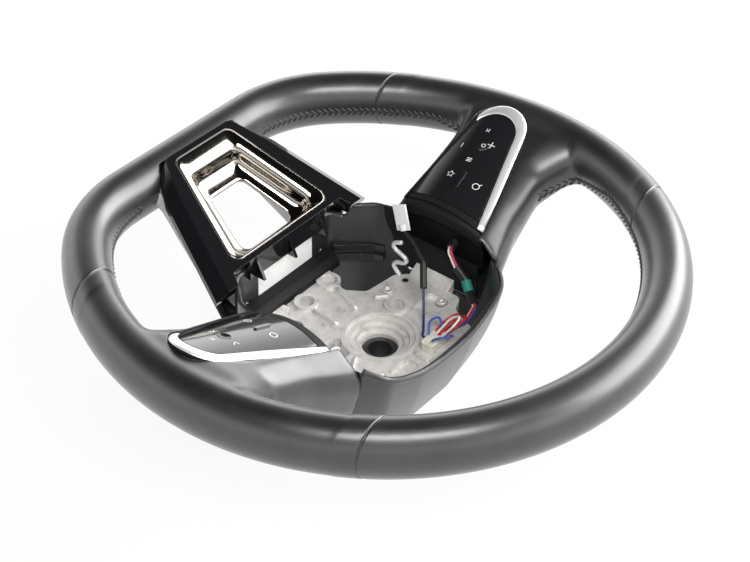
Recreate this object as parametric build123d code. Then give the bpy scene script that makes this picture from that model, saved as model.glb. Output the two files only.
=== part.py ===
from build123d import *
import os
from math import acos, atan2, cos, degrees, radians, sin, sqrt

# Car steering wheel with its airbag taken out: a flat-bottomed leather rim on a cast armature,
# two side spokes with switch pods, a lower spoke with a framed window, and an open-backed rear cover.
# Millimetres. The origin is on the steering axis, halfway along the splined bush that takes the column.
# +Z points to the driver and +Y to twelve o'clock. A "height" is measured from the rim's mid-plane.

# Rim
RIM_WIDTH = 370.0
RIM_HEIGHT_OVER_BUSH = 86.0
GRIP_WIDTH = 30.2
GRIP_DEPTH = 37.4
LOWER_SWELL = 19.0
FLAT_DROP = 158.8
CORNER_RADIUS = 80.0
LEATHER = 1.2
SEAM_GAP = 0.8
UPPER_SEAM_ANGLE = 37.0
LOWER_SEAM_ANGLE = -35.0
FIT_GAP = 0.3

# Cast armature
CORE_RADIUS = 6.5
PLATE_TOP = -64.0
PLATE_THICKNESS = 7.0
PLATE_REACH_UP = 42.0
PLATE_REACH_DOWN = 70.0
PLATE_SIDE = 62.0
PLATE_LOBE = 26.0
PLATE_CORNER = 5.0
POCKET_DEPTH = 3.0
ARM_WIDTH = 30.0
ARM_CENTRE_Y = -8.0
ARM_THICKNESS = 7.0
ARM_BEND = 9.0
ARM_ROOT = 8.0
ARM_KNEE = (136.0, -15.5)
ARM_TIP_HEIGHT = -2.0
LOWER_ARM_WIDTH = 11.0
LOWER_ARM_THICKNESS = 8.0
ARM_CLEARANCE = 1.0
BOSS_RADIUS = 25.0
RING_STEP = 3.5
RING_DEPTH = 2.8
AIRBAG_HOLE_RADIUS = 5.5
AIRBAG_COLLAR = 2.5
AIRBAG_COLLAR_HEIGHT = 2.0

# Splined bush
BORE_RADIUS = 7.5
BUSH_RADIUS = 11.5
BUSH_LENGTH = 22.0

# Side spokes
SPOKE_ROOT = 68.0
SPOKE_TIP = 166.0
SPOKE_ROUNDING = 7.0

# Switch pods: a crest line from the hub end to the tip, and an outline drawn on the plane under it
POD_CREST_HUB = (71.5, -10.0, -11.3)
POD_CREST_TIP = (159.5, -18.0, 19.3)
POD_CROSS_RISE = 0.03
POD_CROSS_CROWN = 62.0
POD_LENGTH = 91.5
POD_HUB_LOW = (5.0, -32.0)
POD_HUB_HIGH = (-1.5, 32.0)
POD_TIP_RADIUS = 20.0
BEZEL_TIP = 8.5
BEZEL_SIDE = 5.6
BEZEL_LOWER = 2.4
BEZEL_HEIGHT = 5.0
BEZEL_PROUD = 0.8
POD_DEPTH = 19.0
POD_FLOOR = 2.4
POD_WALL = 2.0
HUB_SKIRT_BOTTOM = -48.0
PAD_THICKNESS = 3.2
PAD_GAP = 0.7
PAD_HUB_INSET = 4.7
PAD_ROOM_BELOW = 2.4
RIDGE_LENGTH = 13.0
RIDGE_WIDTH = 2.4
RIDGE_HEIGHT = 1.0
RIDGE_PLACE = (26.0, 0.5)
DIMPLE_RADIUS = 9.0
DIMPLE_DEPTH = 1.1
DIMPLE_PLACE = (56.0, 0.0)
PIVOT_PLACE = (42.0, -1.0)
PIVOT_DEPTH = 9.6
PIN_RADIUS = 1.5
PIN_LENGTH = 3.4
PIN_PLAY = 0.3
CRADLE_LENGTH = 26.0
CRADLE_WIDTH = 22.0
CRADLE_WALL = 3.6
CRADLE_HEIGHT = 4.4
SIDE_PLAY = 0.4
POST_WIDTH = 6.4
POST_THICKNESS = 4.2
LUG_WIDTH = 6.0
LUG_THICKNESS = 2.2
BOARD_THICKNESS = 1.6
BOARD_INSET = 1.2
MAT_THICKNESS = 0.8
DOME_HEIGHT = 1.0
DOME_RADIUS = 4.0
PLUNGER_RADIUS = 2.2
PLUNGER_ROOM = 1.5
KEY_SPACING_U = 26.0
KEY_SPACING_V = 17.0

# Lower spoke frame, drawn on a plane that slopes from the rim down to the hub
FRAME_SLOPE = 28.0
FRAME_EDGE_Y = -149.0
FRAME_EDGE_HEIGHT = 18.6
FRAME_HALF_RIM = 30.0
FRAME_HALF_MID = 41.0
FRAME_MID = 25.0
FRAME_HALF_HUB = 60.0
FRAME_HUB = 82.0
FRAME_EAR = 93.0
FRAME_EAR_WIDTH = 9.0
FRAME_LIP = 4.0
FRAME_CORNER = 6.0
BEVEL_WIDTH = 8.0
BEVEL_DROP = 6.0
FRAME_DEPTH = 9.5
FRAME_WALL = 2.4
WINDOW_CORNER = 6.0
LINER_WALL = 2.0
BACK_SLOPE = 41.0
BACK_EDGE_Y = -140.0
BACK_EDGE_HEIGHT = -17.0
BACK_NARROWING = 15.0
BACK_WALL = 2.2
LIP_WALL_DROP = 15.0
LIP_WALL_HALF = 36.0
GUSSET_REACH = 7.0
GUSSET_THICKNESS = 2.0
GUSSET_SPACING = 30.0
# The window's depth, half width at the rim and at the hub end, start and end along the frame's plane
WINDOW_FACE = (0.0, 25.0, 46.0, 4.0, 80.5)
WINDOW_THROAT = (16.0, 17.5, 27.0, 31.0, 77.0)
WINDOW_OUTLET = (46.0, 38.0, 40.0, 12.0, 80.0)

# Rear cover
COVER_WALL = 3.2
COVER_BACK = -100.0
COVER_SECTIONS = [(-20.0, 76.0, 57.0), (-60.0, 73.0, 51.0), (COVER_BACK, 60.0, 37.0)]
COVER_LOW_Y = -80.5
COVER_LOW_HALF = 45.0
COVER_DIP = -52.0
COVER_SHOULDER = -29.0
COVER_DIP_START = 24.0
COVER_EAR_Y = -30.0
COVER_EAR_HEIGHT = -25.0
COVER_FLANGE = 8.0
COVER_ROUNDING = 12.0
TAB_WIDTH = 18.0
TAB_THICKNESS = 2.5
SCREW_RADIUS = 2.0
SCREW_PLAY = 0.2
SCREW_HEAD_RADIUS = 4.0
SCREW_HEAD = 2.6
LABEL_WIDTH = 52.0
LABEL_HEIGHT = 18.0
LABEL_THICKNESS = 0.3
LABEL_CENTRE = -47.0
COVER_SCREWS = [(16.0, -64.0), (54.0, -22.0), (-54.0, -22.0)]

# Wiring in the well
WIRE_RADIUS = 0.8
WIRE_SPREAD = 1.0
WIRE_BEND = 3.5
LEAD_RADIUS = 1.3
LEAD_BEND = 5.0
SLEEVE_WALL = 0.9
TAPE_THICKNESS = 0.5
GROMMET_WALL = 1.2
TAG_WIDTH = 10.0
TAG_LENGTH = 17.0
TAG_THICKNESS = 1.2
TAG_TOP = (-61.0, -34.0, -14.0)
CONNECTOR_HEIGHT = 8.0
CONNECTOR_WALL = 1.2
CLIP_RADIUS = 0.9
CLIP_BEND = 1.6

GRIP_RADIUS = (RIM_WIDTH - GRIP_WIDTH) / 2
SIDE_RADIUS = GRIP_RADIUS + LOWER_SWELL
CORNER_Y = CORNER_RADIUS - FLAT_DROP
CORNER_X = sqrt((SIDE_RADIUS - CORNER_RADIUS) ** 2 - CORNER_Y ** 2) - LOWER_SWELL
CORNER_ANGLE = degrees(atan2(CORNER_Y, CORNER_X + LOWER_SWELL))
WINDOW_END = WINDOW_FACE[-1]
PLATE_BACK = PLATE_TOP - PLATE_THICKNESS
HARNESS_RADIUS = WIRE_SPREAD + WIRE_RADIUS
FAR = 600.0


def at(x, y, height):
    """A point given by its height over the rim's mid-plane."""
    return Vector(x, y, RIM_HEIGHT_OVER_BUSH + height)


def level(height):
    """A horizontal plane at a height over the rim's mid-plane."""
    return Plane.XY.offset(RIM_HEIGHT_OVER_BUSH + height)


def both_sides(shape):
    return shape + mirror(shape, Plane.YZ)


def slab(outline, low, high):
    """A flat outline made solid between two heights."""
    return level(low) * extrude(outline, high - low)


def post(x, y, radius, low, high):
    return slab(Pos(x, y) * Circle(radius), low, high)


# Rim
def arc_tube(centre_x, centre_y, radius, start, end, half_width, half_depth):
    """Part of the rim: an ellipse turned about an upright axis from one angle to another."""
    direction = Vector(cos(radians(start)), sin(radians(start)))
    along = Vector(-direction.Y, direction.X)
    centre = at(centre_x, centre_y, 0)
    plane = Plane(centre + direction * radius, x_dir=direction, z_dir=along)
    section = plane * Ellipse(half_width, half_depth)
    return revolve(section, Axis(centre, (0, 0, 1)), revolution_arc=end - start)


def rim_tube(half_width, half_depth):
    """The whole rim loop: round above, fuller at the lower sides, flat at the bottom."""
    upper = arc_tube(0, 0, GRIP_RADIUS, 0, 90, half_width, half_depth)
    side = arc_tube(-LOWER_SWELL, 0, SIDE_RADIUS, CORNER_ANGLE, 0, half_width, half_depth)
    corner = arc_tube(CORNER_X, CORNER_Y, CORNER_RADIUS, -90, CORNER_ANGLE, half_width, half_depth)
    flat_plane = Plane(at(0, -FLAT_DROP, 0), x_dir=(0, -1, 0), z_dir=(1, 0, 0))
    flat = extrude(flat_plane * Ellipse(half_width, half_depth), CORNER_X)
    return both_sides(upper + side + corner + flat)


# Side spokes: distance from the axis, then the section's corners as (y, height)
SPOKE_SECTIONS = [
    (SPOKE_ROOT, [(-47, -25), (24, -17), (43, -33), (33, -68), (-38, -68)]),
    (100, [(-46, -10), (17, -6), (33, -19), (26, -51), (-37, -51)]),
    (130, [(-44, 5), (12, 5), (31, -6), (24, -32), (-38, -32)]),
    (150, [(-48, 15), (18, 14), (43, 4), (34, -21), (-43, -21)]),
    (SPOKE_TIP, [(-55, 17), (29, 17), (63, 5), (50, -15), (-52, -15)]),
]


def spoke_body(inset):
    """The right padded spoke, from the hub to inside the rim, drawn in by an inset."""
    sections = []
    for x, corners in SPOKE_SECTIONS:
        plane = Plane(at(x, 0, 0), x_dir=(0, 1, 0), z_dir=(1, 0, 0))
        outline = Polygon(*corners, align=None)
        outline = fillet(outline.vertices(), SPOKE_ROUNDING)
        sections.append(plane * offset(outline, -inset))
    return loft(sections)


# Pod plane: u runs along the crest from the hub end, v across it, w out of the face
CREST = Vector(*POD_CREST_TIP) - Vector(*POD_CREST_HUB)
POD_U = CREST.normalized()
POD_W = POD_U.cross(Vector(0, 1, POD_CROSS_RISE)).normalized()
POD_PLANE = Plane(at(*POD_CREST_HUB), x_dir=POD_U, z_dir=POD_W)


def pod_outline(lower=0.0, tip=0.0, upper=0.0, hub=0.0):
    """The pod's outline on its own plane, drawn in by an amount on each side."""
    radius = POD_TIP_RADIUS - (lower + upper) / 2
    centre = Vector(POD_LENGTH - tip - radius, (lower - upper) / 2)
    hub_low = Vector(POD_HUB_LOW[0] + hub, POD_HUB_LOW[1] + lower)
    hub_high = Vector(POD_HUB_HIGH[0] + hub, POD_HUB_HIGH[1] - upper)
    touches = []
    for corner, side in ((hub_low, 1), (hub_high, -1)):
        reach = corner - centre
        angle = atan2(reach.Y, reach.X) + side * acos(radius / reach.length)
        touches.append(centre + Vector(cos(angle), sin(angle)) * radius)
    lower_leg = Line(hub_low, touches[0])
    nose = ThreePointArc(touches[0], centre + Vector(radius, 0), touches[1])
    upper_leg = Line(touches[1], hub_high)
    hub_end = Line(hub_high, hub_low)
    return make_face([lower_leg, nose, upper_leg, hub_end])


def bezel_inside(grow=0.0):
    """The outline between the bezel's legs, open to the hub."""
    return pod_outline(BEZEL_LOWER - grow, BEZEL_TIP - grow, BEZEL_SIDE - grow, -grow)


def pad_outline(grow=0.0):
    return bezel_inside(grow) - well_side(PAD_HUB_INSET - grow)


def prism(outline, low, high):
    """An outline on the pod plane made solid between two depths."""
    return POD_PLANE.offset(low) * extrude(outline, high - low)


def crowned_layer(low, high):
    """A layer that follows the pod's crowned face, from one depth under it to another."""
    half = POD_CROSS_CROWN * 0.8
    drop = POD_CROSS_CROWN - sqrt(POD_CROSS_CROWN ** 2 - half ** 2)
    upper = ThreePointArc((-half, high - drop), (0, high), (half, high - drop))
    lower = ThreePointArc((half, low - drop), (0, low), (-half, low - drop))
    profile = make_face([upper, Line(upper @ 1, lower @ 0), lower, Line(lower @ 1, upper @ 0)])
    start = POD_PLANE.from_local_coords((-POD_LENGTH / 2, 0, 0))
    across = Plane(start, x_dir=POD_PLANE.y_dir, z_dir=POD_PLANE.x_dir)
    return extrude(across * profile, 2 * POD_LENGTH)


def crowned(outline, low, high):
    """An outline's solid between two depths under the crowned face."""
    return prism(outline, -3 * POD_DEPTH, POD_DEPTH) & crowned_layer(low, high)


def crowned_cut(outline, depth):
    """Everything above a depth under the crowned face, within an outline."""
    return crowned(outline, depth, POD_DEPTH)


def pod_box(length, width, low, high, u, v):
    """A block square to the pod plane."""
    return prism(Pos(u, v) * Rectangle(length, width), low, high)


def pod_rod(start, end, radius):
    """A round bar between two points of the pod plane."""
    first = POD_PLANE.from_local_coords(start)
    last = POD_PLANE.from_local_coords(end)
    run = last - first
    return Plane(first, z_dir=run) * extrude(Circle(radius), run.length)


POD_FLOOR_TOP = POD_FLOOR - POD_DEPTH
BOARD_TOP = POD_FLOOR_TOP + BOARD_THICKNESS
MAT_TOP = BOARD_TOP + MAT_THICKNESS
DOME_TOP = MAT_TOP + DOME_HEIGHT
PAD_BACK = -PAD_THICKNESS
POD_RIM_DEPTH = BEZEL_PROUD - BEZEL_HEIGHT
POST_OFFSET = CRADLE_LENGTH / 2 + SIDE_PLAY + POST_THICKNESS / 2
LUG_OFFSET = CRADLE_WIDTH / 2 + SIDE_PLAY + LUG_THICKNESS / 2
PIN_REACH = CRADLE_LENGTH / 2 + SIDE_PLAY + PIN_LENGTH
KEY_PLACES = [
    (PIVOT_PLACE[0] + u * KEY_SPACING_U, PIVOT_PLACE[1] + v * KEY_SPACING_V / 2)
    for u in (-1, 1)
    for v in (-1, 1)
]


def cavity_outline(inset=0.0):
    """The room inside the pod housing, clear of the pad's edge and of the hub wall."""
    lower = BEZEL_LOWER - PAD_GAP + inset
    upper = BEZEL_SIDE - PAD_GAP + inset
    return pod_outline(lower, BEZEL_TIP - PAD_GAP + inset, upper, POD_WALL + inset)


def pod_skirt():
    """The plain wall under the pod's hub end, which faces the airbag well."""
    band = pod_outline() - pod_outline(hub=2 * POD_WALL)
    wall = extrude(POD_PLANE.offset(-PIVOT_DEPTH) * band, FAR / 4, dir=(0, 0, 1), both=True)
    wall &= crowned_layer(-FAR / 4, PAD_BACK - PAD_ROOM_BELOW)
    return wall - slab(Rectangle(FAR, FAR), -FAR, HUB_SKIRT_BOTTOM)


def hub_lip():
    """The housing's edge that closes off the pad's hub end, level with the pad's face."""
    return crowned(bezel_inside() - pad_outline(PAD_GAP), PAD_BACK - PAD_ROOM_BELOW, 0)


def pod_housing():
    body = prism(pod_outline(), -POD_DEPTH, POD_DEPTH) & crowned_layer(-FAR / 4, POD_RIM_DEPTH)
    body += pod_skirt()
    body -= prism(cavity_outline(), POD_FLOOR_TOP, POD_DEPTH)
    body -= crowned_cut(pad_outline(PAD_GAP), PAD_BACK - PAD_ROOM_BELOW)
    body += hub_lip()
    u, v = PIVOT_PLACE
    post_top = PIN_RADIUS + POD_WALL - PIVOT_DEPTH
    for side in (-1, 1):
        body += pod_box(POST_THICKNESS, POST_WIDTH, POD_FLOOR_TOP, post_top, u + side * POST_OFFSET, v)
    ends = [(u + side * 2 * POST_OFFSET, v, -PIVOT_DEPTH) for side in (-1, 1)]
    body -= pod_rod(ends[0], ends[1], PIN_RADIUS + PIN_PLAY)
    return body - rim_tube(CORE_RADIUS + ARM_CLEARANCE, CORE_RADIUS + ARM_CLEARANCE)


def pod_bezel():
    """The bright trim along the pod's two legs and round its tip."""
    strip = pod_outline() - bezel_inside(PAD_GAP)
    return crowned(strip, POD_RIM_DEPTH, BEZEL_PROUD)


def pod_cradle():
    """The frame under the pad that turns in the housing's posts and carries the pad's pins."""
    u, v = PIVOT_PLACE
    low = -PIVOT_DEPTH - CRADLE_HEIGHT / 2
    high = low + CRADLE_HEIGHT
    ring = pod_box(CRADLE_LENGTH, CRADLE_WIDTH, low, high, u, v)
    ring -= pod_box(CRADLE_LENGTH - 2 * CRADLE_WALL, CRADLE_WIDTH - 2 * CRADLE_WALL, low, high, u, v)
    for side in (-1, 1):
        root = (u + side * (CRADLE_LENGTH / 2 - CRADLE_WALL / 2), v, -PIVOT_DEPTH)
        ring += pod_rod(root, (u + side * PIN_REACH, v, -PIVOT_DEPTH), PIN_RADIUS)
    holes = [(u, v + side * CRADLE_WIDTH, -PIVOT_DEPTH) for side in (-1, 1)]
    return ring - pod_rod(holes[0], holes[1], PIN_RADIUS + PIN_PLAY)


def pod_pad():
    """The one-piece switch pad: crowned, with a finger ridge, a dimple, pivot lugs and plungers."""
    u, v = PIVOT_PLACE
    pad = crowned(pad_outline(), PAD_BACK, 0)
    ridge = Pos(*RIDGE_PLACE) * SlotOverall(RIDGE_LENGTH, RIDGE_WIDTH)
    pad += crowned(ridge, PAD_BACK, RIDGE_HEIGHT)
    lift = DIMPLE_RADIUS - DIMPLE_DEPTH
    pad -= Pos(POD_PLANE.from_local_coords((*DIMPLE_PLACE, lift))) * Sphere(DIMPLE_RADIUS)
    keep = crowned_layer(-FAR / 4, PAD_BACK + POD_WALL / 2)
    lug_low = -PIVOT_DEPTH - PIN_RADIUS - POD_WALL / 2
    for side in (-1, 1):
        place = v + side * LUG_OFFSET
        pad += pod_box(LUG_WIDTH, LUG_THICKNESS, lug_low, POD_DEPTH, u, place) & keep
        tip = v + side * (CRADLE_WIDTH / 2 - PIN_LENGTH)
        pad += pod_rod((u, place, -PIVOT_DEPTH), (u, tip, -PIVOT_DEPTH), PIN_RADIUS)
    for place in KEY_PLACES:
        pad += prism(Pos(*place) * Circle(PLUNGER_RADIUS), DOME_TOP + PLUNGER_ROOM, POD_DEPTH) & keep
    return pad


def post_holes(low, high):
    """Room for the housing's posts in the board and the mat."""
    u, v = PIVOT_PLACE
    holes = Part()
    for side in (-1, 1):
        place = u + side * POST_OFFSET
        holes += pod_box(POST_THICKNESS + 2 * SIDE_PLAY, POST_WIDTH + 2 * SIDE_PLAY, low, high, place, v)
    return holes


def pod_board():
    board = prism(cavity_outline(BOARD_INSET), POD_FLOOR_TOP, BOARD_TOP)
    return board - post_holes(POD_FLOOR_TOP, BOARD_TOP)


def pod_mat():
    """The rubber mat with one dome under each corner of the pad."""
    mat = prism(cavity_outline(BOARD_INSET), BOARD_TOP, MAT_TOP) - post_holes(BOARD_TOP, MAT_TOP)
    for place in KEY_PLACES:
        dome = Cone(DOME_RADIUS, PLUNGER_RADIUS, DOME_HEIGHT, align=(Align.CENTER, Align.CENTER, Align.MIN))
        mat += POD_PLANE.offset(MAT_TOP) * Pos(*place) * dome
    return mat


def well_side(push):
    """Everything on the airbag well's side of the pod's hub end, pushed into the pod by an amount."""
    low = POD_HUB_LOW[1] - FIT_GAP
    high = POD_HUB_HIGH[1] + FIT_GAP
    inner = [(POD_HUB_LOW[0] + push, low), (POD_HUB_HIGH[0] + push, high)]
    return Polygon(*inner, (-POD_DEPTH, high), (-POD_DEPTH, low), align=None)


def pod_pocket():
    """Room for a pod and its skirt in the padded spoke."""
    outline = pod_outline(-FIT_GAP, -FIT_GAP, -FIT_GAP) + well_side(0)
    pocket = prism(outline, -POD_DEPTH - FIT_GAP, FAR / 4)
    skirt = POD_PLANE.offset(-PIVOT_DEPTH) * well_side(2 * POD_WALL + FIT_GAP)
    room = extrude(skirt, FAR / 4, both=True, dir=(0, 0, 1))
    return pocket + (room - slab(Rectangle(FAR, FAR), -FAR, HUB_SKIRT_BOTTOM - FIT_GAP))


# Armature
def plate_outline():
    """The hub plate: a lower lobe, two side lobes and a straight upper edge."""
    neck = PLATE_LOBE - PLATE_CORNER
    half = [
        (neck, -PLATE_REACH_DOWN),
        (PLATE_LOBE, -PLATE_REACH_DOWN + 8),
        (neck, -46),
        (PLATE_LOBE + 3, -34),
        (PLATE_SIDE - 8, -31),
        (PLATE_SIDE, -23),
        (PLATE_SIDE, 16),
        (PLATE_SIDE - 12, 21),
        (PLATE_SIDE - 21, PLATE_REACH_UP),
    ]
    other = [(-x, y) for x, y in reversed(half)]
    return fillet(Polygon(*half, *other, align=None).vertices(), PLATE_CORNER)


AIRBAG_HOLES = [(-21.0, -59.0), (5.0, -56.0), (-29.0, -10.0)]
CONNECTOR_POCKET = (-14.0, 31.0, 18.0, 10.0)
CAST_POCKETS = [(-44.0, 6.0, 20.0, 16.0), (45.0, 4.0, 16.0, 20.0), (16.0, 31.0, 18.0, 10.0), CONNECTOR_POCKET]
CAST_WINDOW = (26.0, -12.0, 15.0, 17.0)
BUSH_BACK = -RIM_HEIGHT_OVER_BUSH - BUSH_LENGTH / 2
BUSH_FRONT = BUSH_BACK + BUSH_LENGTH


def hub_plate():
    plate = slab(plate_outline(), PLATE_BACK, PLATE_TOP)
    for x, y, width, height in CAST_POCKETS:
        pocket = Pos(x, y) * RectangleRounded(width, height, POCKET_DEPTH)
        plate -= slab(pocket, PLATE_TOP - POCKET_DEPTH, PLATE_TOP)
    x, y, width, height = CAST_WINDOW
    plate -= slab(Pos(x, y) * RectangleRounded(width, height, POCKET_DEPTH), PLATE_BACK, PLATE_TOP)
    for x, y in AIRBAG_HOLES:
        plate += post(x, y, AIRBAG_HOLE_RADIUS + AIRBAG_COLLAR, PLATE_BACK, PLATE_TOP + AIRBAG_COLLAR_HEIGHT)
        plate -= post(x, y, AIRBAG_HOLE_RADIUS, PLATE_BACK, PLATE_TOP + AIRBAG_COLLAR_HEIGHT)
    return plate - post(0, 0, BOSS_RADIUS, PLATE_BACK, PLATE_TOP)


def hub_boss():
    """The boss round the bush, stepped down in rings from the plate's face to the bush."""
    boss = post(0, 0, BOSS_RADIUS, BUSH_BACK, PLATE_TOP)
    boss -= post(0, 0, BUSH_RADIUS, BUSH_BACK, PLATE_TOP)
    for step in (1, 2, 3):
        boss -= post(0, 0, BUSH_RADIUS + step * RING_STEP, BUSH_FRONT + step * RING_DEPTH, PLATE_TOP)
    return boss


def side_arm(grow=0.0):
    """The bent arm that carries the rim under the right pod."""
    middle = (PLATE_TOP + PLATE_BACK) / 2
    root = (PLATE_SIDE - ARM_ROOT, middle)
    bend = (PLATE_SIDE - ARM_ROOT / 3, middle)
    route = FilletPolyline(root, bend, ARM_KNEE, (GRIP_RADIUS, ARM_TIP_HEIGHT), radius=ARM_BEND)
    plane = Plane(at(0, ARM_CENTRE_Y, 0), x_dir=(1, 0, 0), z_dir=(0, -1, 0))
    return extrude(plane * trace(route, ARM_THICKNESS + 2 * grow), ARM_WIDTH / 2 + grow, both=True)


LOWER_ARM_ROUTE = [(20, -60, -67.5), (31, -80, -63), (46, -104, -30), (39, -136, -7), (35, -FLAT_DROP, 0)]


def lower_arm(grow=0.0):
    """The right bar of the lower spoke, from the hub plate's lobe to the flat of the rim."""
    route = FilletPolyline(*[at(*point) for point in LOWER_ARM_ROUTE], radius=ARM_BEND)
    section = Rectangle(LOWER_ARM_WIDTH + 2 * grow, LOWER_ARM_THICKNESS + 2 * grow)
    return sweep(Plane(route @ 0, x_dir=(1, 0, 0), z_dir=route % 0) * section, route)


def rim_core():
    """The ring inside the rim that the arms carry."""
    return rim_tube(CORE_RADIUS, CORE_RADIUS)


def cast_armature():
    """The light-alloy casting: the hub plate and the arms that reach the rim's core."""
    arms = both_sides(side_arm() + lower_arm())
    casting = hub_plate() + arms - rim_core()
    for place in COVER_SCREWS:
        casting -= post(*place, SCREW_RADIUS + SCREW_PLAY, PLATE_BACK, PLATE_TOP)
    return casting


def hub_bush():
    bush = post(0, 0, BUSH_RADIUS, BUSH_BACK, BUSH_FRONT)
    return bush - post(0, 0, BORE_RADIUS, BUSH_BACK, BUSH_FRONT)


# Lower spoke
FRAME_PLANE = Plane(
    at(0, FRAME_EDGE_Y, FRAME_EDGE_HEIGHT),
    x_dir=(1, 0, 0),
    z_dir=(0, sin(radians(FRAME_SLOPE)), cos(radians(FRAME_SLOPE))),
)


def frame_outline(grow=0.0):
    """The frame's outline on its plane, with an ear each side of the airbag well."""
    widening = (FRAME_HALF_HUB - FRAME_HALF_MID) / (FRAME_HUB - FRAME_MID)
    ear_half = FRAME_HALF_HUB + widening * (FRAME_EAR - FRAME_HUB)
    lip = WINDOW_END + FRAME_LIP
    half = [
        (FRAME_HALF_RIM + grow / 3, 0),
        (FRAME_HALF_MID + grow, FRAME_MID),
        (ear_half + grow, FRAME_EAR),
        (ear_half - FRAME_EAR_WIDTH, FRAME_EAR),
        (FRAME_HALF_HUB - FRAME_EAR_WIDTH, lip),
    ]
    other = [(-x, y) for x, y in reversed(half)]
    outline = Polygon(*half, *other, align=None)
    ends = outline.vertices().sort_by(Axis.Y)[:4]
    return fillet(ends, FRAME_CORNER)


def window_outline(section, grow=0.0):
    depth, rim, hub, start, end = section
    right = [(rim + grow, start - grow), (hub + grow, end + grow)]
    left = [(-x, y) for x, y in reversed(right)]
    return fillet(Polygon(*right, *left, align=None).vertices(), WINDOW_CORNER)


def window_body(front, back, grow):
    """The window's passage between two of its sections."""
    outlines = [FRAME_PLANE.offset(-section[0]) * window_outline(section, grow) for section in (back, front)]
    return loft(outlines, ruled=True)


def frame_body(depth):
    """The frame's outside: a flat face, a bevel along the legs, and a short upright edge."""
    face = FRAME_PLANE * frame_outline()
    edge = FRAME_PLANE.offset(-BEVEL_DROP) * frame_outline(BEVEL_WIDTH)
    skirt = FRAME_PLANE.offset(-depth) * extrude(frame_outline(BEVEL_WIDTH), depth - BEVEL_DROP)
    return loft([edge, face], ruled=True) + skirt


def lower_frame():
    """The glossy frame round the window, with a ribbed wall under its hub-side lip."""
    frame = frame_body(FRAME_DEPTH)
    channel = offset(frame_outline(), -FRAME_WALL) - window_outline(WINDOW_FACE, FRAME_WALL + FIT_GAP)
    frame -= FRAME_PLANE.offset(-FRAME_DEPTH) * extrude(channel, FRAME_DEPTH - FRAME_WALL)
    lip = FRAME_PLANE.from_local_coords((0, WINDOW_END + FRAME_LIP, 0))
    top = lip.Z - RIM_HEIGHT_OVER_BUSH
    wall_y = lip.Y - FRAME_WALL / 2
    wall = Pos(0, wall_y) * Rectangle(2 * LIP_WALL_HALF, FRAME_WALL)
    frame += slab(wall, top - LIP_WALL_DROP, top)
    rib_plane = Plane(at(0, lip.Y, top), x_dir=(0, 1, 0), z_dir=(1, 0, 0))
    rib = make_face(Polyline((0, 0), (0, -LIP_WALL_DROP), (GUSSET_REACH, -LIP_WALL_DROP), close=True))
    for place in (-1, 0, 1):
        gusset = extrude(rib_plane * rib, GUSSET_THICKNESS / 2, both=True)
        frame += Pos(place * GUSSET_SPACING, 0, 0) * gusset
    return frame - window_body(WINDOW_FACE, WINDOW_THROAT, FIT_GAP)


def lower_liner():
    """The bright funnel inside the window, wide at the face and narrow at the back."""
    return window_body(WINDOW_FACE, WINDOW_THROAT, 0) - window_body(WINDOW_FACE, WINDOW_THROAT, -LINER_WALL)


BACK_PLANE = Plane(
    at(0, BACK_EDGE_Y, BACK_EDGE_HEIGHT),
    x_dir=(1, 0, 0),
    z_dir=(0, sin(radians(BACK_SLOPE)), cos(radians(BACK_SLOPE))),
)


def back_outline(inset):
    """The outline of the lower spoke's back, on the frame's plane or on its own."""
    widening = (FRAME_HALF_HUB - FRAME_HALF_MID) / (FRAME_HUB - FRAME_MID)
    hub_half = FRAME_HALF_HUB + BEVEL_WIDTH + widening * (FRAME_EAR - FRAME_HUB) - inset
    mid_half = FRAME_HALF_MID + BEVEL_WIDTH - inset
    corners = [
        (FRAME_HALF_RIM - inset, inset),
        (mid_half, FRAME_MID),
        (hub_half, FRAME_EAR),
        (-hub_half, FRAME_EAR),
        (-mid_half, FRAME_MID),
        (-(FRAME_HALF_RIM - inset), inset),
    ]
    return fillet(Polygon(*corners, align=None).vertices(), FRAME_CORNER / 2)


def back_body(inset):
    front = FRAME_PLANE.offset(-FRAME_DEPTH) * back_outline(inset)
    back = BACK_PLANE.offset(inset) * back_outline(BACK_NARROWING + inset)
    return loft([back, front], ruled=True)


def lower_spoke_back():
    """The moulded shell behind the lower spoke, open where the arms leave for the hub."""
    outside = back_body(0)
    collar = window_body(WINDOW_THROAT, WINDOW_OUTLET, FIT_GAP + BACK_WALL) & outside
    shell = outside - back_body(BACK_WALL) + collar
    shell -= window_body(WINDOW_FACE, WINDOW_THROAT, FIT_GAP)
    shell -= window_body(WINDOW_THROAT, WINDOW_OUTLET, FIT_GAP)
    beyond = Pos(0, COVER_LOW_Y - FIT_GAP + FAR / 2) * Rectangle(FAR, FAR)
    shell -= slab(beyond, -FAR, FAR)
    shell -= rim_tube(GRIP_WIDTH / 2 + FIT_GAP, GRIP_DEPTH / 2 + FIT_GAP)
    return shell - both_sides(lower_arm(ARM_CLEARANCE))


# Rear cover
def cover_outline(half_width, top, inset):
    half = [
        (COVER_LOW_HALF, COVER_LOW_Y),
        (half_width - 9, -57),
        (half_width, -28),
        (half_width, 25),
        (half_width - 17, top - 4),
        (half_width * 0.35, top),
    ]
    other = [(-x, y) for x, y in reversed(half)]
    outline = fillet(Polygon(*half, *other, align=None).vertices(), COVER_ROUNDING)
    return offset(outline, -inset)


def cover_body(inset):
    return loft([level(height) * cover_outline(half, top, inset) for height, half, top in COVER_SECTIONS])


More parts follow.
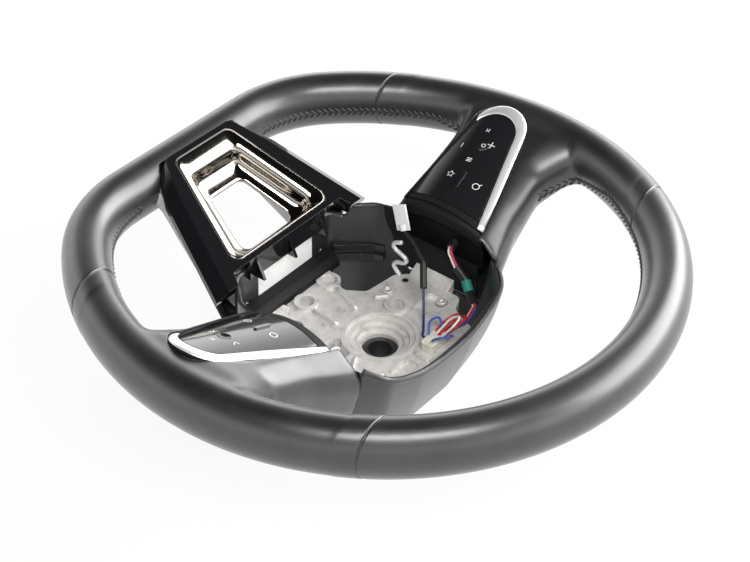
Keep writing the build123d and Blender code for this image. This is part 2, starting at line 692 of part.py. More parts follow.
def cover_tabs(outside):
    """Shelves under the hub plate that the cover's screws pass through."""
    low = PLATE_BACK - TAB_THICKNESS
    tabs = Part()
    for x, y in COVER_SCREWS:
        side = abs(x) > abs(y)
        reach_x = x + (TAB_WIDTH if x > 0 else -TAB_WIDTH) if side else x
        reach_y = y if side else y - TAB_WIDTH
        place = Pos((x + reach_x) / 2, (y + reach_y) / 2)
        size = (abs(reach_x - x) + TAB_WIDTH, abs(reach_y - y) + TAB_WIDTH)
        tab = slab(place * Rectangle(*size), low, PLATE_BACK) & outside
        tabs += tab - post(x, y, SCREW_RADIUS + SCREW_PLAY, low, PLATE_BACK)
    return tabs


def cover_dip():
    """What is cut away above the cover's upper edge, which dips between the side spokes."""
    half = SPOKE_ROOT
    edge = ThreePointArc((-half, COVER_SHOULDER), (0, COVER_DIP), (half, COVER_SHOULDER))
    right = [(half, COVER_SHOULDER), (FAR / 4, COVER_SHOULDER), (FAR / 4, FAR / 4)]
    left = [(-x, height) for x, height in reversed(right)]
    roof = Polyline(*right, *left)
    plane = Plane(at(0, COVER_DIP_START, 0), x_dir=(1, 0, 0), z_dir=(0, -1, 0))
    return extrude(plane * make_face([edge, roof]), -FAR / 4)


def rear_cover():
    """The open-backed skirt behind the hub, with an in-turned back edge."""
    outside = cover_body(0)
    cover = outside - cover_body(COVER_WALL)
    back = cover_outline(*COVER_SECTIONS[-1][1:], COVER_WALL / 2)
    back -= cover_outline(*COVER_SECTIONS[-1][1:], COVER_FLANGE)
    cover += slab(back, COVER_BACK, COVER_BACK + COVER_WALL)
    cover += cover_tabs(outside)
    under_frame = Pos(0, FRAME_EAR / 2) * Rectangle(FAR, FRAME_EAR + 2 * FIT_GAP)
    cover -= FRAME_PLANE.offset(-FRAME_DEPTH - FIT_GAP) * extrude(under_frame, FAR / 4)
    cover -= cover_dip()
    cover -= slab(Pos(0, COVER_EAR_Y - FAR / 2) * Rectangle(FAR, FAR), COVER_EAR_HEIGHT, FAR)
    cover -= both_sides(pod_pocket() + spoke_body(-FIT_GAP))
    return cover - both_sides(lower_arm(ARM_CLEARANCE) + side_arm(ARM_CLEARANCE))


def rear_cover_screws():
    """Screws from behind, through the cover's tabs into the hub plate."""
    tab_back = PLATE_BACK - TAB_THICKNESS
    screws = Part()
    for x, y in COVER_SCREWS:
        screw = post(x, y, SCREW_HEAD_RADIUS, tab_back - SCREW_HEAD, tab_back)
        screws += screw + post(x, y, SCREW_RADIUS, tab_back, PLATE_TOP)
    return screws


def wall_label():
    """A blank sticker on the cover's inner face, under the lower spoke."""
    face = Pos(0, COVER_LOW_Y + COVER_WALL + LABEL_THICKNESS / 2) * Rectangle(LABEL_WIDTH, LABEL_THICKNESS)
    return slab(face, LABEL_CENTRE - LABEL_HEIGHT / 2, LABEL_CENTRE + LABEL_HEIGHT / 2)


# Padding and leather
def grip(inset):
    """The rim with its two padded spokes, drawn in by an inset."""
    tube = rim_tube(GRIP_WIDTH / 2 - inset, GRIP_DEPTH / 2 - inset)
    return tube + both_sides(spoke_body(inset))


def grip_rooms():
    """What the padding and the leather leave free: the pods and the lower spoke's frame."""
    outline = frame_outline(BEVEL_WIDTH + FIT_GAP)
    frame = FRAME_PLANE.offset(-2 * FRAME_DEPTH) * extrude(outline, 4 * FRAME_DEPTH)
    return both_sides(pod_pocket()) + frame


def seam_ray(angle, reach=FAR):
    return reach * cos(radians(angle)), reach * sin(radians(angle))


def seam_wedge(start, end):
    """The part of the wheel's plan between two seams."""
    corners = [(0, 0), seam_ray(start), seam_ray((start + end) / 2), seam_ray(end)]
    return Polygon(*corners, align=None)


def foam_panel(padding, start, end):
    return padding & slab(seam_wedge(start, end), -FAR / 2, FAR / 2)


def leather_panel(leather, start, end):
    """The piece of leather between two seams, with the seams' own gaps left open."""
    wedge = seam_wedge(start, end)
    for angle in (start, end):
        wedge -= Pos(*seam_ray(angle, FAR / 2)) * Rot(0, 0, angle) * Rectangle(FAR, SEAM_GAP)
    return leather & slab(wedge, -FAR / 2, FAR / 2)


# Wiring
HARNESS_POINTS = [
    (-73.4, 2.0, -33.0),
    (-66.0, 3.0, -35.0),
    (-64.0, 10.0, -43.0),
    (-64.0, 18.0, -50.0),
    (-60.0, 24.0, -55.0),
    (-54.0, 33.0, -58.0),
    (-42.0, 35.0, -61.2),
    (-28.0, CONNECTOR_POCKET[1], -61.2),
    (-20.0, CONNECTOR_POCKET[1], -61.2),
]
LEAD_KNEE = (-49.5, -5.0, -38.0)
LEAD_TIP = (-39.0, 3.5, -49.0)
LEAD_POINTS = [(-58.2, -27.5, -29.0), (-55.0, -18.0, -31.0), LEAD_KNEE, LEAD_TIP]
SPLICE_POINTS = [
    LEAD_TIP,
    [2 * tip - knee for tip, knee in zip(LEAD_TIP, LEAD_KNEE)],
    (-19.0, 19.0, -62.2),
    (CONNECTOR_POCKET[0], 22.0, -62.2),
    (CONNECTOR_POCKET[0], 28.0, -62.2),
]
CLIP_POINTS = [(-56, -28, PLATE_TOP), (-56, -28, -58), (-56, -26, -50), (-56, -32, -46), (-56, -28.5, -38)]
HARNESS = FilletPolyline(*[at(*point) for point in HARNESS_POINTS], radius=WIRE_BEND)
SPLICE = FilletPolyline(*[at(*point) for point in SPLICE_POINTS], radius=WIRE_BEND)
LEAD = FilletPolyline(*[at(*point) for point in LEAD_POINTS], radius=LEAD_BEND)


def strand(route, radius, shift=(0.0, 0.0)):
    """A round wire along a route, shifted to one side of it."""
    return sweep(Plane(route @ 0, z_dir=route % 0) * Pos(*shift) * Circle(radius), route)


def part_of(route, first, last):
    """The stretch of a route between two of its straight runs or bends."""
    return Wire(route.order_edges()[first:last])


def tube(route, inner, wall):
    return strand(route, inner + wall) - strand(route, inner)


def harness_wire(index):
    angle = radians(90 + 120 * index)
    return strand(HARNESS, WIRE_RADIUS, (WIRE_SPREAD * cos(angle), WIRE_SPREAD * sin(angle)))


def connector():
    """The housing that the column's plug goes into, standing in a pocket of the hub plate."""
    x, y, width, height = CONNECTOR_POCKET
    floor = PLATE_TOP - POCKET_DEPTH
    top = floor + CONNECTOR_HEIGHT
    outline = offset(Pos(x, y) * RectangleRounded(width, height, POCKET_DEPTH), -FIT_GAP)
    socket = offset(outline, -CONNECTOR_WALL * 2)
    return slab(outline, floor, top) - slab(socket, top - CONNECTOR_WALL, top)


def lead_tag():
    """A flag on the end of the lead, with a collar that grips it."""
    foot = at(*LEAD_POINTS[0])
    run = at(*TAG_TOP) - foot
    plane = Plane(foot, x_dir=(0, 1, 0), z_dir=run)
    tag = plane * extrude(Rectangle(TAG_WIDTH, TAG_THICKNESS), TAG_LENGTH)
    tag += plane * extrude(Circle(LEAD_RADIUS + TAG_THICKNESS), TAG_LENGTH / 4)
    return tag


def pod_nodes():
    """The right pod's pieces; the left pod is their mirror image."""
    return {
        "pod_housing": pod_housing(),
        "bezel": pod_bezel(),
        "cradle": pod_cradle(),
        "pad": pod_pad(),
        "pod_board": pod_board(),
        "pod_mat": pod_mat(),
    }


def wiring_nodes():
    wires = {name: harness_wire(index) for index, name in enumerate(("white", "blue", "red"))}
    nodes = {f"pod_wire_{name}": wire for name, wire in wires.items()}
    splice_wire = strand(SPLICE, WIRE_RADIUS)
    nodes["harness_sleeve"] = tube(part_of(HARNESS, 4, 9), HARNESS_RADIUS, SLEEVE_WALL)
    nodes["harness_tape"] = tube(part_of(HARNESS, 6, 7), HARNESS_RADIUS + SLEEVE_WALL, TAPE_THICKNESS)
    nodes["pod_grommet"] = tube(part_of(HARNESS, 0, 1), HARNESS_RADIUS, GROMMET_WALL)
    nodes["airbag_lead"] = strand(LEAD, LEAD_RADIUS)
    nodes["airbag_wire"] = splice_wire
    nodes["airbag_sleeve"] = tube(part_of(LEAD, 4, 5), LEAD_RADIUS, SLEEVE_WALL)
    nodes["lead_tag"] = lead_tag() - nodes["airbag_lead"]
    housing = connector() - splice_wire
    for wire in wires.values():
        housing -= wire
    nodes["column_connector"] = housing
    clip_route = FilletPolyline(*[at(*point) for point in CLIP_POINTS], radius=CLIP_BEND)
    nodes["retainer_clip"] = strand(clip_route, CLIP_RADIUS)
    return nodes


def main():
    armature = cast_armature()
    core = rim_core()
    inside = grip(LEATHER)
    rooms = grip_rooms()
    leather = grip(0) - inside - rooms - armature
    padding = inside - rooms - armature - core
    left_seams = (180 - UPPER_SEAM_ANGLE, 180 - LOWER_SEAM_ANGLE)
    seams = (LOWER_SEAM_ANGLE, UPPER_SEAM_ANGLE, *left_seams, 360 + LOWER_SEAM_ANGLE)
    nodes = {
        "armature": armature,
        "hub_boss": hub_boss(),
        "rim_core": core,
        "hub_bush": hub_bush(),
        "lower_frame": lower_frame(),
        "lower_liner": lower_liner(),
        "lower_spoke_back": lower_spoke_back(),
        "rear_cover": rear_cover(),
        "rear_cover_screws": rear_cover_screws(),
        "wall_label": wall_label(),
    }
    for index, name in enumerate(("right", "top", "left", "bottom")):
        nodes[f"foam_{name}"] = foam_panel(padding, seams[index], seams[index + 1])
        nodes[f"leather_{name}"] = leather_panel(leather, seams[index], seams[index + 1])
    for name, shape in pod_nodes().items():
        nodes[f"right_{name}"] = shape
        nodes[f"left_{name}"] = mirror(shape, Plane.YZ)
    nodes["left_pod_housing"] -= strand(part_of(HARNESS, 0, 1), HARNESS_RADIUS + GROMMET_WALL)
    nodes.update(wiring_nodes())
    os.makedirs("parts", exist_ok=True)
    for name, shape in nodes.items():
        export_step(shape, f"parts/{name}.step")


if __name__ == "__main__":
    main()
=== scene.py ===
import bmesh
import bpy
from math import acos, atan2, cos, exp, pi, radians, sin, sqrt
from mathutils import Matrix, Vector
from mathutils.bvhtree import BVHTree


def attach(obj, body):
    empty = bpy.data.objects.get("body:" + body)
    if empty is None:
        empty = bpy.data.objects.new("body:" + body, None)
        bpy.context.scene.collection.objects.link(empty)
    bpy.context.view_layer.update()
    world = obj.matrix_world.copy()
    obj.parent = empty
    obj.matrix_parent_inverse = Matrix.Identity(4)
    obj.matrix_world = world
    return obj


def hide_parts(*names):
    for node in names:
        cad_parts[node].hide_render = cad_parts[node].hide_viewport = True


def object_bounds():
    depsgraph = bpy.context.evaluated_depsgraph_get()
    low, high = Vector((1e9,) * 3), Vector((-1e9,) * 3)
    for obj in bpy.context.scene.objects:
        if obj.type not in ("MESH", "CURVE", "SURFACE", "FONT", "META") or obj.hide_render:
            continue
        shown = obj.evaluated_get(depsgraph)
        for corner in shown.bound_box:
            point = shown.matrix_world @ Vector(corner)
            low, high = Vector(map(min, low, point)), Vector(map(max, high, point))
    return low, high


# The dressed steering wheel. Lengths are in millimetres until MM turns them into metres.
MM = 0.001

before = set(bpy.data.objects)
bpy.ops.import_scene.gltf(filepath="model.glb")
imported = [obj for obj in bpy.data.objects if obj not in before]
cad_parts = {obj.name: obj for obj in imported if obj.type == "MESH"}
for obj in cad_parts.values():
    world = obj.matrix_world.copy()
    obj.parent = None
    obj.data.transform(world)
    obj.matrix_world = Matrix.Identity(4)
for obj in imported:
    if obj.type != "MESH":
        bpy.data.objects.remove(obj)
cad_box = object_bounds()

# Sizes shared with the solids
RIM_Z = 86.0
HALF_WIDTH = 15.1
HALF_DEPTH = 18.7
UPPER_RADIUS = 169.9
LOWER_SWELL = 19.0
SIDE_RADIUS = UPPER_RADIUS + LOWER_SWELL
FLAT_DROP = 158.8
CORNER_RADIUS = 80.0
CORNER_Y = CORNER_RADIUS - FLAT_DROP
CORNER_X = sqrt((SIDE_RADIUS - CORNER_RADIUS) ** 2 - CORNER_Y ** 2) - LOWER_SWELL
CORNER_ANGLE = atan2(CORNER_Y, CORNER_X + LOWER_SWELL)
SEAM_LEAN = 34.0
SEAMS = {"right_lower": -35.0, "right_upper": 37.0, "left_upper": 143.0, "left_lower": 215.0}
FLOOR_Z = cad_box[0][2]

# Pod plane, as in the solids
POD_HUB = Vector((71.5, -10.0, RIM_Z - 11.3))
POD_TIP = Vector((159.5, -18.0, RIM_Z + 19.3))
POD_U = (POD_TIP - POD_HUB).normalized()
POD_W = POD_U.cross(Vector((0, 1, 0.03))).normalized()
POD_V = POD_W.cross(POD_U)
POD_CROWN = 62.0
POD_LENGTH = 91.5
POD_HUB_LOW = (5.0, -32.0)
POD_HUB_HIGH = (-1.5, 32.0)
POD_TIP_RADIUS = 20.0
POD_DEPTH = 19.0

# Lower frame plane, as in the solids
FRAME_SLOPE = radians(28.0)
FRAME_ORIGIN = Vector((0, -149.0, RIM_Z + 18.6))
FRAME_V = Vector((0, cos(FRAME_SLOPE), -sin(FRAME_SLOPE)))
FRAME_N = Vector((0, sin(FRAME_SLOPE), cos(FRAME_SLOPE)))


# Objects and meshes
def placed(name, data):
    """A new object in the scene."""
    obj = bpy.data.objects.new(name, data)
    bpy.context.scene.collection.objects.link(obj)
    return obj


def link(name, mesh, material, slot, body="wheel", stands_for=(), smooth=True):
    """Puts a mesh in the scene as a piece of the object that rides on a body."""
    obj = placed(name, mesh)
    mesh.materials.clear()
    mesh.materials.append(material)
    if smooth:
        mesh.shade_smooth()
    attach(obj, body)
    if stands_for:
        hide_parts(*stands_for)
    return obj


def mesh_from(name, points, faces):
    """A mesh from points in millimetres."""
    mesh = bpy.data.meshes.new(name)
    mesh.from_pydata([tuple(c * MM for c in p) for p in points], [], faces)
    mesh.update()
    return mesh


def grid_faces(rows, columns, closed_rows=False, start=0):
    """Faces between rows of points, each row a closed loop."""
    faces = []
    for i in range(rows if closed_rows else rows - 1):
        for j in range(columns):
            a = start + i * columns + j
            b = start + i * columns + (j + 1) % columns
            c = start + ((i + 1) % rows) * columns + (j + 1) % columns
            d = start + ((i + 1) % rows) * columns + j
            faces.append((a, b, c, d))
    return faces


def capped_grid(rows, columns, start=0):
    """Faces of a tube with both its ends filled."""
    last = start + (rows - 1) * columns
    faces = grid_faces(rows, columns, start=start)
    faces.append(tuple(reversed(range(start, start + columns))))
    faces.append(tuple(range(last, last + columns)))
    return faces


def applied(obj):
    """The mesh that an object's modifiers give; the object is removed."""
    graph = bpy.context.evaluated_depsgraph_get()
    mesh = bpy.data.meshes.new_from_object(obj.evaluated_get(graph))
    bpy.data.objects.remove(obj)
    return mesh


def add_remesh(obj, name, voxel):
    remesh = obj.modifiers.new(name, "REMESH")
    remesh.mode = "VOXEL"
    remesh.voxel_size = voxel * MM
    return remesh


def add_smoothing(obj, name, times, group=""):
    soft = obj.modifiers.new(name, "SMOOTH")
    soft.factor = 0.5
    soft.iterations = times
    soft.vertex_group = group


# Rim path: each station is a centre point and the direction out of the wheel
def half_path(step):
    stations = []

    def arc(cx, cy, radius, start, end):
        count = max(2, round(abs(end - start) * radius / step))
        for i in range(count):
            angle = start + (end - start) * i / count
            out = Vector((cos(angle), sin(angle), 0))
            stations.append((Vector((cx, cy, RIM_Z)) + out * radius, out))

    arc(0, 0, UPPER_RADIUS, pi / 2, 0)
    arc(-LOWER_SWELL, 0, SIDE_RADIUS, 0, CORNER_ANGLE)
    arc(CORNER_X, CORNER_Y, CORNER_RADIUS, CORNER_ANGLE, -pi / 2)
    count = round(CORNER_X / step)
    for i in range(count):
        stations.append((Vector((CORNER_X * (1 - i / count), -FLAT_DROP, RIM_Z)), Vector((0, -1, 0))))
    return stations


def rim_path(step):
    """Stations all the way round, clockwise from twelve o'clock."""
    right = half_path(step)
    bottom = (Vector((0, -FLAT_DROP, RIM_Z)), Vector((0, -1, 0)))
    left = [(Vector((-p.x, p.y, p.z)), Vector((-o.x, o.y, 0))) for p, o in reversed(right[1:])]
    return right + [bottom] + left


def on_section(station, angle, lift=0.0):
    """A point on the rim's section; angle 0 is outward and a quarter turn is towards the driver."""
    centre, out = station
    normal = Vector((cos(angle) / HALF_WIDTH, sin(angle) / HALF_DEPTH)).normalized()
    a = HALF_WIDTH * cos(angle) + lift * normal.x
    b = HALF_DEPTH * sin(angle) + lift * normal.y
    return centre + out * a + Vector((0, 0, b))


# Spoke sections: distance from the axis, then corners as (y, height over the rim's mid-plane)
SPOKE_SECTIONS = [
    (68, [(-47, -25), (24, -17), (43, -33), (33, -68), (-38, -68)]),
    (100, [(-46, -10), (17, -6), (33, -19), (26, -51), (-37, -51)]),
    (130, [(-44, 5), (12, 5), (31, -6), (24, -32), (-38, -32)]),
    (150, [(-48, 15), (18, 14), (43, 4), (34, -21), (-43, -21)]),
    (166, [(-55, 17), (29, 17), (63, 5), (50, -15), (-52, -15)]),
]
SPOKE_ROUNDING = (7.0, 8.0, 17.0, 11.0, 8.0)
SPOKE_STEPS = 6


def rounded_section(corners, radii, arc_steps=6, edge_steps=8):
    """A closed polygon with its corners rounded, with the same number of points at each corner."""
    count = len(corners)
    arcs = []
    for i, radius in enumerate(radii):
        before, here, after = (Vector(corners[(i + k) % count]) for k in (-1, 0, 1))
        to_before = (before - here).normalized()
        to_after = (after - here).normalized()
        half = acos(max(-1.0, min(1.0, to_before.dot(to_after)))) / 2
        reach = radius * cos(half) / sin(half)
        centre = here + (to_before + to_after).normalized() * (radius / sin(half))
        start = here + to_before * reach - centre
        end = here + to_after * reach - centre
        turn = atan2(start.x * end.y - start.y * end.x, start.dot(end))
        arc = []
        for k in range(arc_steps + 1):
            c = cos(turn * k / arc_steps)
            n = sin(turn * k / arc_steps)
            arc.append(centre + Vector((start.x * c - start.y * n, start.x * n + start.y * c)))
        arcs.append(arc)
    points = []
    for arc, following in zip(arcs, arcs[1:] + arcs[:1]):
        points += arc
        points += [arc[-1].lerp(following[0], k / edge_steps) for k in range(1, edge_steps)]
    return points


def spoke_mesh_data(side):
    sections = [(x, rounded_section(corners, SPOKE_ROUNDING)) for x, corners in SPOKE_SECTIONS]
    columns = len(sections[0][1])
    points = []
    for (x0, a), (x1, b) in zip(sections, sections[1:]):
        for k in range(SPOKE_STEPS):
            t = k / SPOKE_STEPS
            points += [(side * (x0 + (x1 - x0) * t), *(p.lerp(q, t))) for p, q in zip(a, b)]
    points += [(side * sections[-1][0], *p) for p in sections[-1][1]]
    faces = capped_grid(len(points) // columns, columns)
    return [(x, y, RIM_Z + z) for x, y, z in points], faces


def solid_mesh(name, points, faces):
    mesh = mesh_from(name, points, faces)
    bm = bmesh.new()
    bm.from_mesh(mesh)
    bmesh.ops.recalc_face_normals(bm, faces=bm.faces)
    bm.to_mesh(mesh)
    bm.free()
    return mesh


def add_solid(name, points, faces, look, slot, **more):
    """Puts a closed mesh in the scene as a piece; look is a name in MATERIALS."""
    return link(name, solid_mesh(name, points, faces), MATERIALS[look], slot, **more)


def joined(name, meshes):
    bm = bmesh.new()
    for mesh in meshes:
        bm.from_mesh(mesh)
    mesh = bpy.data.meshes.new(name)
    bm.to_mesh(mesh)
    bm.free()
    return mesh


# Pod and frame outlines for the cut-outs in the leather: the gap round a pod, the height of its cut,
# half of the frame's outline on its own plane, and the depths of the frame's cut
POD_GAP = 0.3
POD_CUT_HEIGHT = 60.0
FRAME_CUT = [(33.0, -0.5), (49.3, 25.0), (72.0, 93.0)]
FRAME_CUT_DEPTHS = (-19.0, 30.0)


def pod_outline(lower=0.0, tip=0.0, upper=0.0, leg_steps=1, tip_steps=24):
    """The pod's outline on its plane, hub to hub round the tip, drawn in by an amount on each side."""
    radius = POD_TIP_RADIUS - (lower + upper) / 2
    centre = Vector((POD_LENGTH - tip - radius, (lower - upper) / 2))
    low = Vector((POD_HUB_LOW[0], POD_HUB_LOW[1] + lower))
    high = Vector((POD_HUB_HIGH[0], POD_HUB_HIGH[1] - upper))
    touches = []
    for corner, side in ((low, 1), (high, -1)):
        reach = corner - centre
        touches.append(atan2(reach.y, reach.x) + side * acos(radius / reach.length))
    start, end = touches
    nose = [centre + Vector((cos(a), sin(a))) * radius
            for a in (start + (end - start) * k / tip_steps for k in range(tip_steps + 1))]
    first = [low.lerp(nose[0], k / leg_steps) for k in range(leg_steps)]
    last = [nose[-1].lerp(high, k / leg_steps) for k in range(1, leg_steps + 1)]
    return first + nose + last


def pod_point(u, v, w, side=1):
    p = POD_HUB + POD_U * u + POD_V * v + POD_W * w
    return Vector((side * p.x, p.y, p.z))


def crown(v):
    """Height of the crowned pad at a distance from its crest."""
    return sqrt(POD_CROWN ** 2 - v ** 2) - POD_CROWN


def prism_mesh(name, low, high):
    """A closed prism between two loops of points."""
    count = len(low)
    faces = [(i, (i + 1) % count, count + (i + 1) % count, count + i) for i in range(count)]
    faces += [tuple(reversed(range(count))), tuple(range(count, 2 * count))]
    return solid_mesh(name, low + high, faces)


def pod_cutter(side):
    outline = pod_outline(-POD_GAP, -POD_GAP, -POD_GAP)
    outline += [Vector((-POD_DEPTH, outline[-1].y)), Vector((-POD_DEPTH, outline[0].y))]
    low = [pod_point(p.x, p.y, -POD_DEPTH - POD_GAP, side) for p in outline]
    high = [pod_point(p.x, p.y, POD_CUT_HEIGHT, side) for p in outline]
    return prism_mesh("pod_cutter", low, high)


def frame_point(x, v, n):
    return FRAME_ORIGIN + Vector((x, 0, 0)) + FRAME_V * v + FRAME_N * n


def frame_cutter():
    outline = FRAME_CUT + [(-x, v) for x, v in reversed(FRAME_CUT)]
    loops = [[frame_point(x, v, depth) for x, v in outline] for depth in FRAME_CUT_DEPTHS]
    return prism_mesh("frame_cutter", *loops)


# Materials
def material(name, colour, roughness, metallic=0.0, **sockets):
    """A principled material whose plain values are set on its sockets."""
    mat = bpy.data.materials.new(name)
    mat.use_nodes = True
    shader = mat.node_tree.nodes["Principled BSDF"]
    shader.inputs["Base Color"].default_value = (*colour, 1.0)
    shader.inputs["Roughness"].default_value = roughness
    shader.inputs["Metallic"].default_value = metallic
    for key, value in sockets.items():
        shader.inputs[key.replace("_", " ").title().replace("Ior", "IOR")].default_value = value
    return mat


def node(mat, kind, **inputs):
    made = mat.node_tree.nodes.new(kind)
    for key, value in inputs.items():
        made.inputs[key].default_value = value
    return made


def wire_up(mat, source, target):
    mat.node_tree.links.new(source, target)


def position(mat):
    return node(mat, "ShaderNodeTexCoord").outputs["Object"]


def noise(mat, scale, detail=3.0, roughness=0.55):
    made = node(mat, "ShaderNodeTexNoise", Scale=scale, Detail=detail, Roughness=roughness)
    wire_up(mat, position(mat), made.inputs["Vector"])
    return made.outputs["Fac"]


def cells(mat, scale):
    made = node(mat, "ShaderNodeTexVoronoi", Scale=scale)
    wire_up(mat, position(mat), made.inputs["Vector"])
    return made.outputs["Distance"]


def ramp(mat, source, stops):
    """Maps a value through colour stops given as (place, colour)."""
    made = mat.node_tree.nodes.new("ShaderNodeValToRGB")
    band = made.color_ramp
    while len(band.elements) < len(stops):
        band.elements.new(0.5)
    for element, (place, colour) in zip(band.elements, stops):
        element.position = place
        element.color = (*colour, 1.0)
    wire_up(mat, source, made.inputs["Fac"])
    return made.outputs["Color"]


def spread(mat, source, low, high):
    made = mat.node_tree.nodes.new("ShaderNodeMapRange")
    made.inputs["To Min"].default_value = low
    made.inputs["To Max"].default_value = high
    wire_up(mat, source, made.inputs["Value"])
    return made.outputs["Result"]


def bump(mat, layers, edge=0.0):
    """Feeds the shader's normal: soft edges, then bumps as (height, strength, distance in millimetres)."""
    last = None
    if edge:
        soft = node(mat, "ShaderNodeBevel", Radius=edge * MM)
        soft.samples = 4
        last = soft.outputs["Normal"]
    for source, strength, distance in layers:
        made = node(mat, "ShaderNodeBump", Strength=strength, Distance=distance * MM)
        wire_up(mat, source, made.inputs["Height"])
        if last:
            wire_up(mat, last, made.inputs["Normal"])
        last = made.outputs["Normal"]
    wire_up(mat, last, mat.node_tree.nodes["Principled BSDF"].inputs["Normal"])


def feed(mat, socket, source):
    wire_up(mat, source, mat.node_tree.nodes["Principled BSDF"].inputs[socket])


def leather_material():
    """Smooth black hide with a finish coat, a fine pebble grain and a soft bloom at grazing angles."""
    mat = material("leather", (0.011, 0.011, 0.012), 0.38, specular_ior_level=0.75, coat_weight=0.65,
                   coat_roughness=0.26, sheen_weight=0.10, sheen_roughness=0.35)
    stops = [(0.3, (0.007, 0.007, 0.008)), (0.7, (0.015, 0.015, 0.016))]
    feed(mat, "Base Color", ramp(mat, noise(mat, 45, 4), stops))
    feed(mat, "Roughness", spread(mat, noise(mat, 120, 3), 0.32, 0.46))
    pebbles = (cells(mat, 900), 0.30, 0.10)
    pores = (noise(mat, 1600, 2), 0.20, 0.06)
    waves = (noise(mat, 60, 2), 0.12, 0.4)
    bump(mat, [pebbles, pores, waves])
    return mat


def plastic_material(name, colour, roughness, grain=0.12, scale=2200, edge=0.4, **sockets):
    mat = material(name, colour, roughness, **sockets)
    low = tuple(c * 0.88 for c in colour)
    high = tuple(min(1.0, c * 1.12) for c in colour)
    feed(mat, "Base Color", ramp(mat, noise(mat, 30, 3), [(0.3, low), (0.7, high)]))
    feed(mat, "Roughness", spread(mat, noise(mat, 90, 3), roughness - 0.05, roughness + 0.06))
    bump(mat, [(noise(mat, scale, 2), grain, 0.06)], edge)
    return mat


def gloss_material(name, colour, roughness=0.035, edge=0.5):
    mat = material(name, colour, roughness, coat_weight=0.5, coat_roughness=0.02)
    feed(mat, "Roughness", spread(mat, noise(mat, 60, 4), roughness, roughness + 0.05))
    bump(mat, [(noise(mat, 35, 2), 0.03, 0.10)], edge)
    return mat


def metal_material(name, colour, roughness, metallic=1.0, edge=0.4):
    mat = material(name, colour, roughness, metallic=metallic)
    low = tuple(c * 0.90 for c in colour)
    feed(mat, "Base Color", ramp(mat, noise(mat, 50, 4), [(0.3, low), (0.7, colour)]))
    feed(mat, "Roughness", spread(mat, noise(mat, 70, 3), roughness, roughness + 0.08))
    bump(mat, [(noise(mat, 300, 3), 0.06, 0.08)], edge)
    return mat


def casting_material():
    """Raw die-cast alloy: pale, mottled by flow marks, with a fine grain and darker specks."""
    mat = material("casting", (0.6, 0.58, 0.55), 0.4, metallic=0.25)
    stops = [(0.24, (0.24, 0.23, 0.22)), (0.42, (0.68, 0.66, 0.63)),
             (0.58, (0.79, 0.77, 0.74)), (0.8, (0.88, 0.86, 0.83))]
    feed(mat, "Base Color", ramp(mat, noise(mat, 130, 8, 0.72), stops))
    feed(mat, "Roughness", spread(mat, noise(mat, 260, 5), 0.22, 0.58))
    bump(mat, [(noise(mat, 240, 6, 0.65), 0.30, 0.5), (noise(mat, 1400, 3), 0.25, 0.10)], 0.6)
    return mat


MATERIALS = {
    "leather": leather_material(),
    "cover": plastic_material("cover_plastic", (0.018, 0.018, 0.019), 0.34, 0.2, 1500, 1.6,
                              coat_weight=0.6, coat_roughness=0.3),
    "black": plastic_material("black_plastic", (0.010, 0.010, 0.011), 0.30),
    "matte": plastic_material("matte_black", (0.006, 0.006, 0.0065), 0.55, specular_ior_level=0.25),
    "gloss": gloss_material("gloss_black", (0.008, 0.008, 0.009)),
    "pad": gloss_material("pad_gloss", (0.012, 0.012, 0.013), 0.12),
    "chrome": metal_material("bright_trim", (0.93, 0.94, 0.94), 0.30, 0.6, 0.9),
    "dark_chrome": metal_material("dark_chrome", (0.36, 0.335, 0.30), 0.05),
    "casting": casting_material(),
    "steel": metal_material("bush_steel", (0.16, 0.16, 0.165), 0.42),
    "white": plastic_material("white_label", (0.80, 0.80, 0.79), 0.55),
    "thread": plastic_material("thread", (0.055, 0.055, 0.058), 0.4, edge=0.0),
    "symbol": plastic_material("pad_symbol", (0.75, 0.75, 0.74), 0.5, edge=0.0),
    "board": plastic_material("board_green", (0.02, 0.10, 0.05), 0.45),
    "rubber": plastic_material("switch_rubber", (0.16, 0.16, 0.165), 0.6),
    "foam": plastic_material("padding", (0.03, 0.03, 0.03), 0.8),
    "wire_white": plastic_material("wire_white", (0.72, 0.72, 0.70), 0.4),
    "wire_blue": plastic_material("wire_blue", (0.03, 0.09, 0.42), 0.38),
    "wire_red": plastic_material("wire_red", (0.55, 0.02, 0.025), 0.38),
    "wire_black": plastic_material("wire_black", (0.012, 0.012, 0.012), 0.42),
    "wire_dark_blue": plastic_material("wire_dark_blue", (0.015, 0.03, 0.14), 0.38),
    "tape": plastic_material("green_tape", (0.015, 0.22, 0.17), 0.5),
    "cream": plastic_material("cream_plastic", (0.70, 0.67, 0.58), 0.45),
    "clip": metal_material("clip_steel", (0.86, 0.86, 0.85), 0.3, 0.35),
}
NODE_MATERIALS = {
    "armature": "casting", "hub_boss": "casting", "rim_core": "casting", "hub_bush": "steel",
    "foam_top": "foam", "foam_left": "foam", "foam_right": "foam", "foam_bottom": "foam",
    "rear_cover": "cover", "rear_cover_screws": "steel", "lower_frame": "gloss",
    "lower_liner": "dark_chrome", "lower_spoke_back": "cover", "wall_label": "white",
    "pod_wire_white": "wire_white", "pod_wire_blue": "wire_blue", "pod_wire_red": "wire_red",
    "harness_sleeve": "wire_black", "harness_tape": "tape", "pod_grommet": "wire_black",
    "airbag_lead": "wire_black", "airbag_wire": "wire_dark_blue", "airbag_sleeve": "wire_black",
    "lead_tag": "white", "column_connector": "cream", "retainer_clip": "clip",
}
for side_name in ("left", "right"):
    for part, look in (("pod_housing", "matte"), ("bezel", "chrome"), ("cradle", "black"),
                       ("pad", "pad"), ("pod_board", "board"), ("pod_mat", "rubber")):
        NODE_MATERIALS[f"{side_name}_{part}"] = look


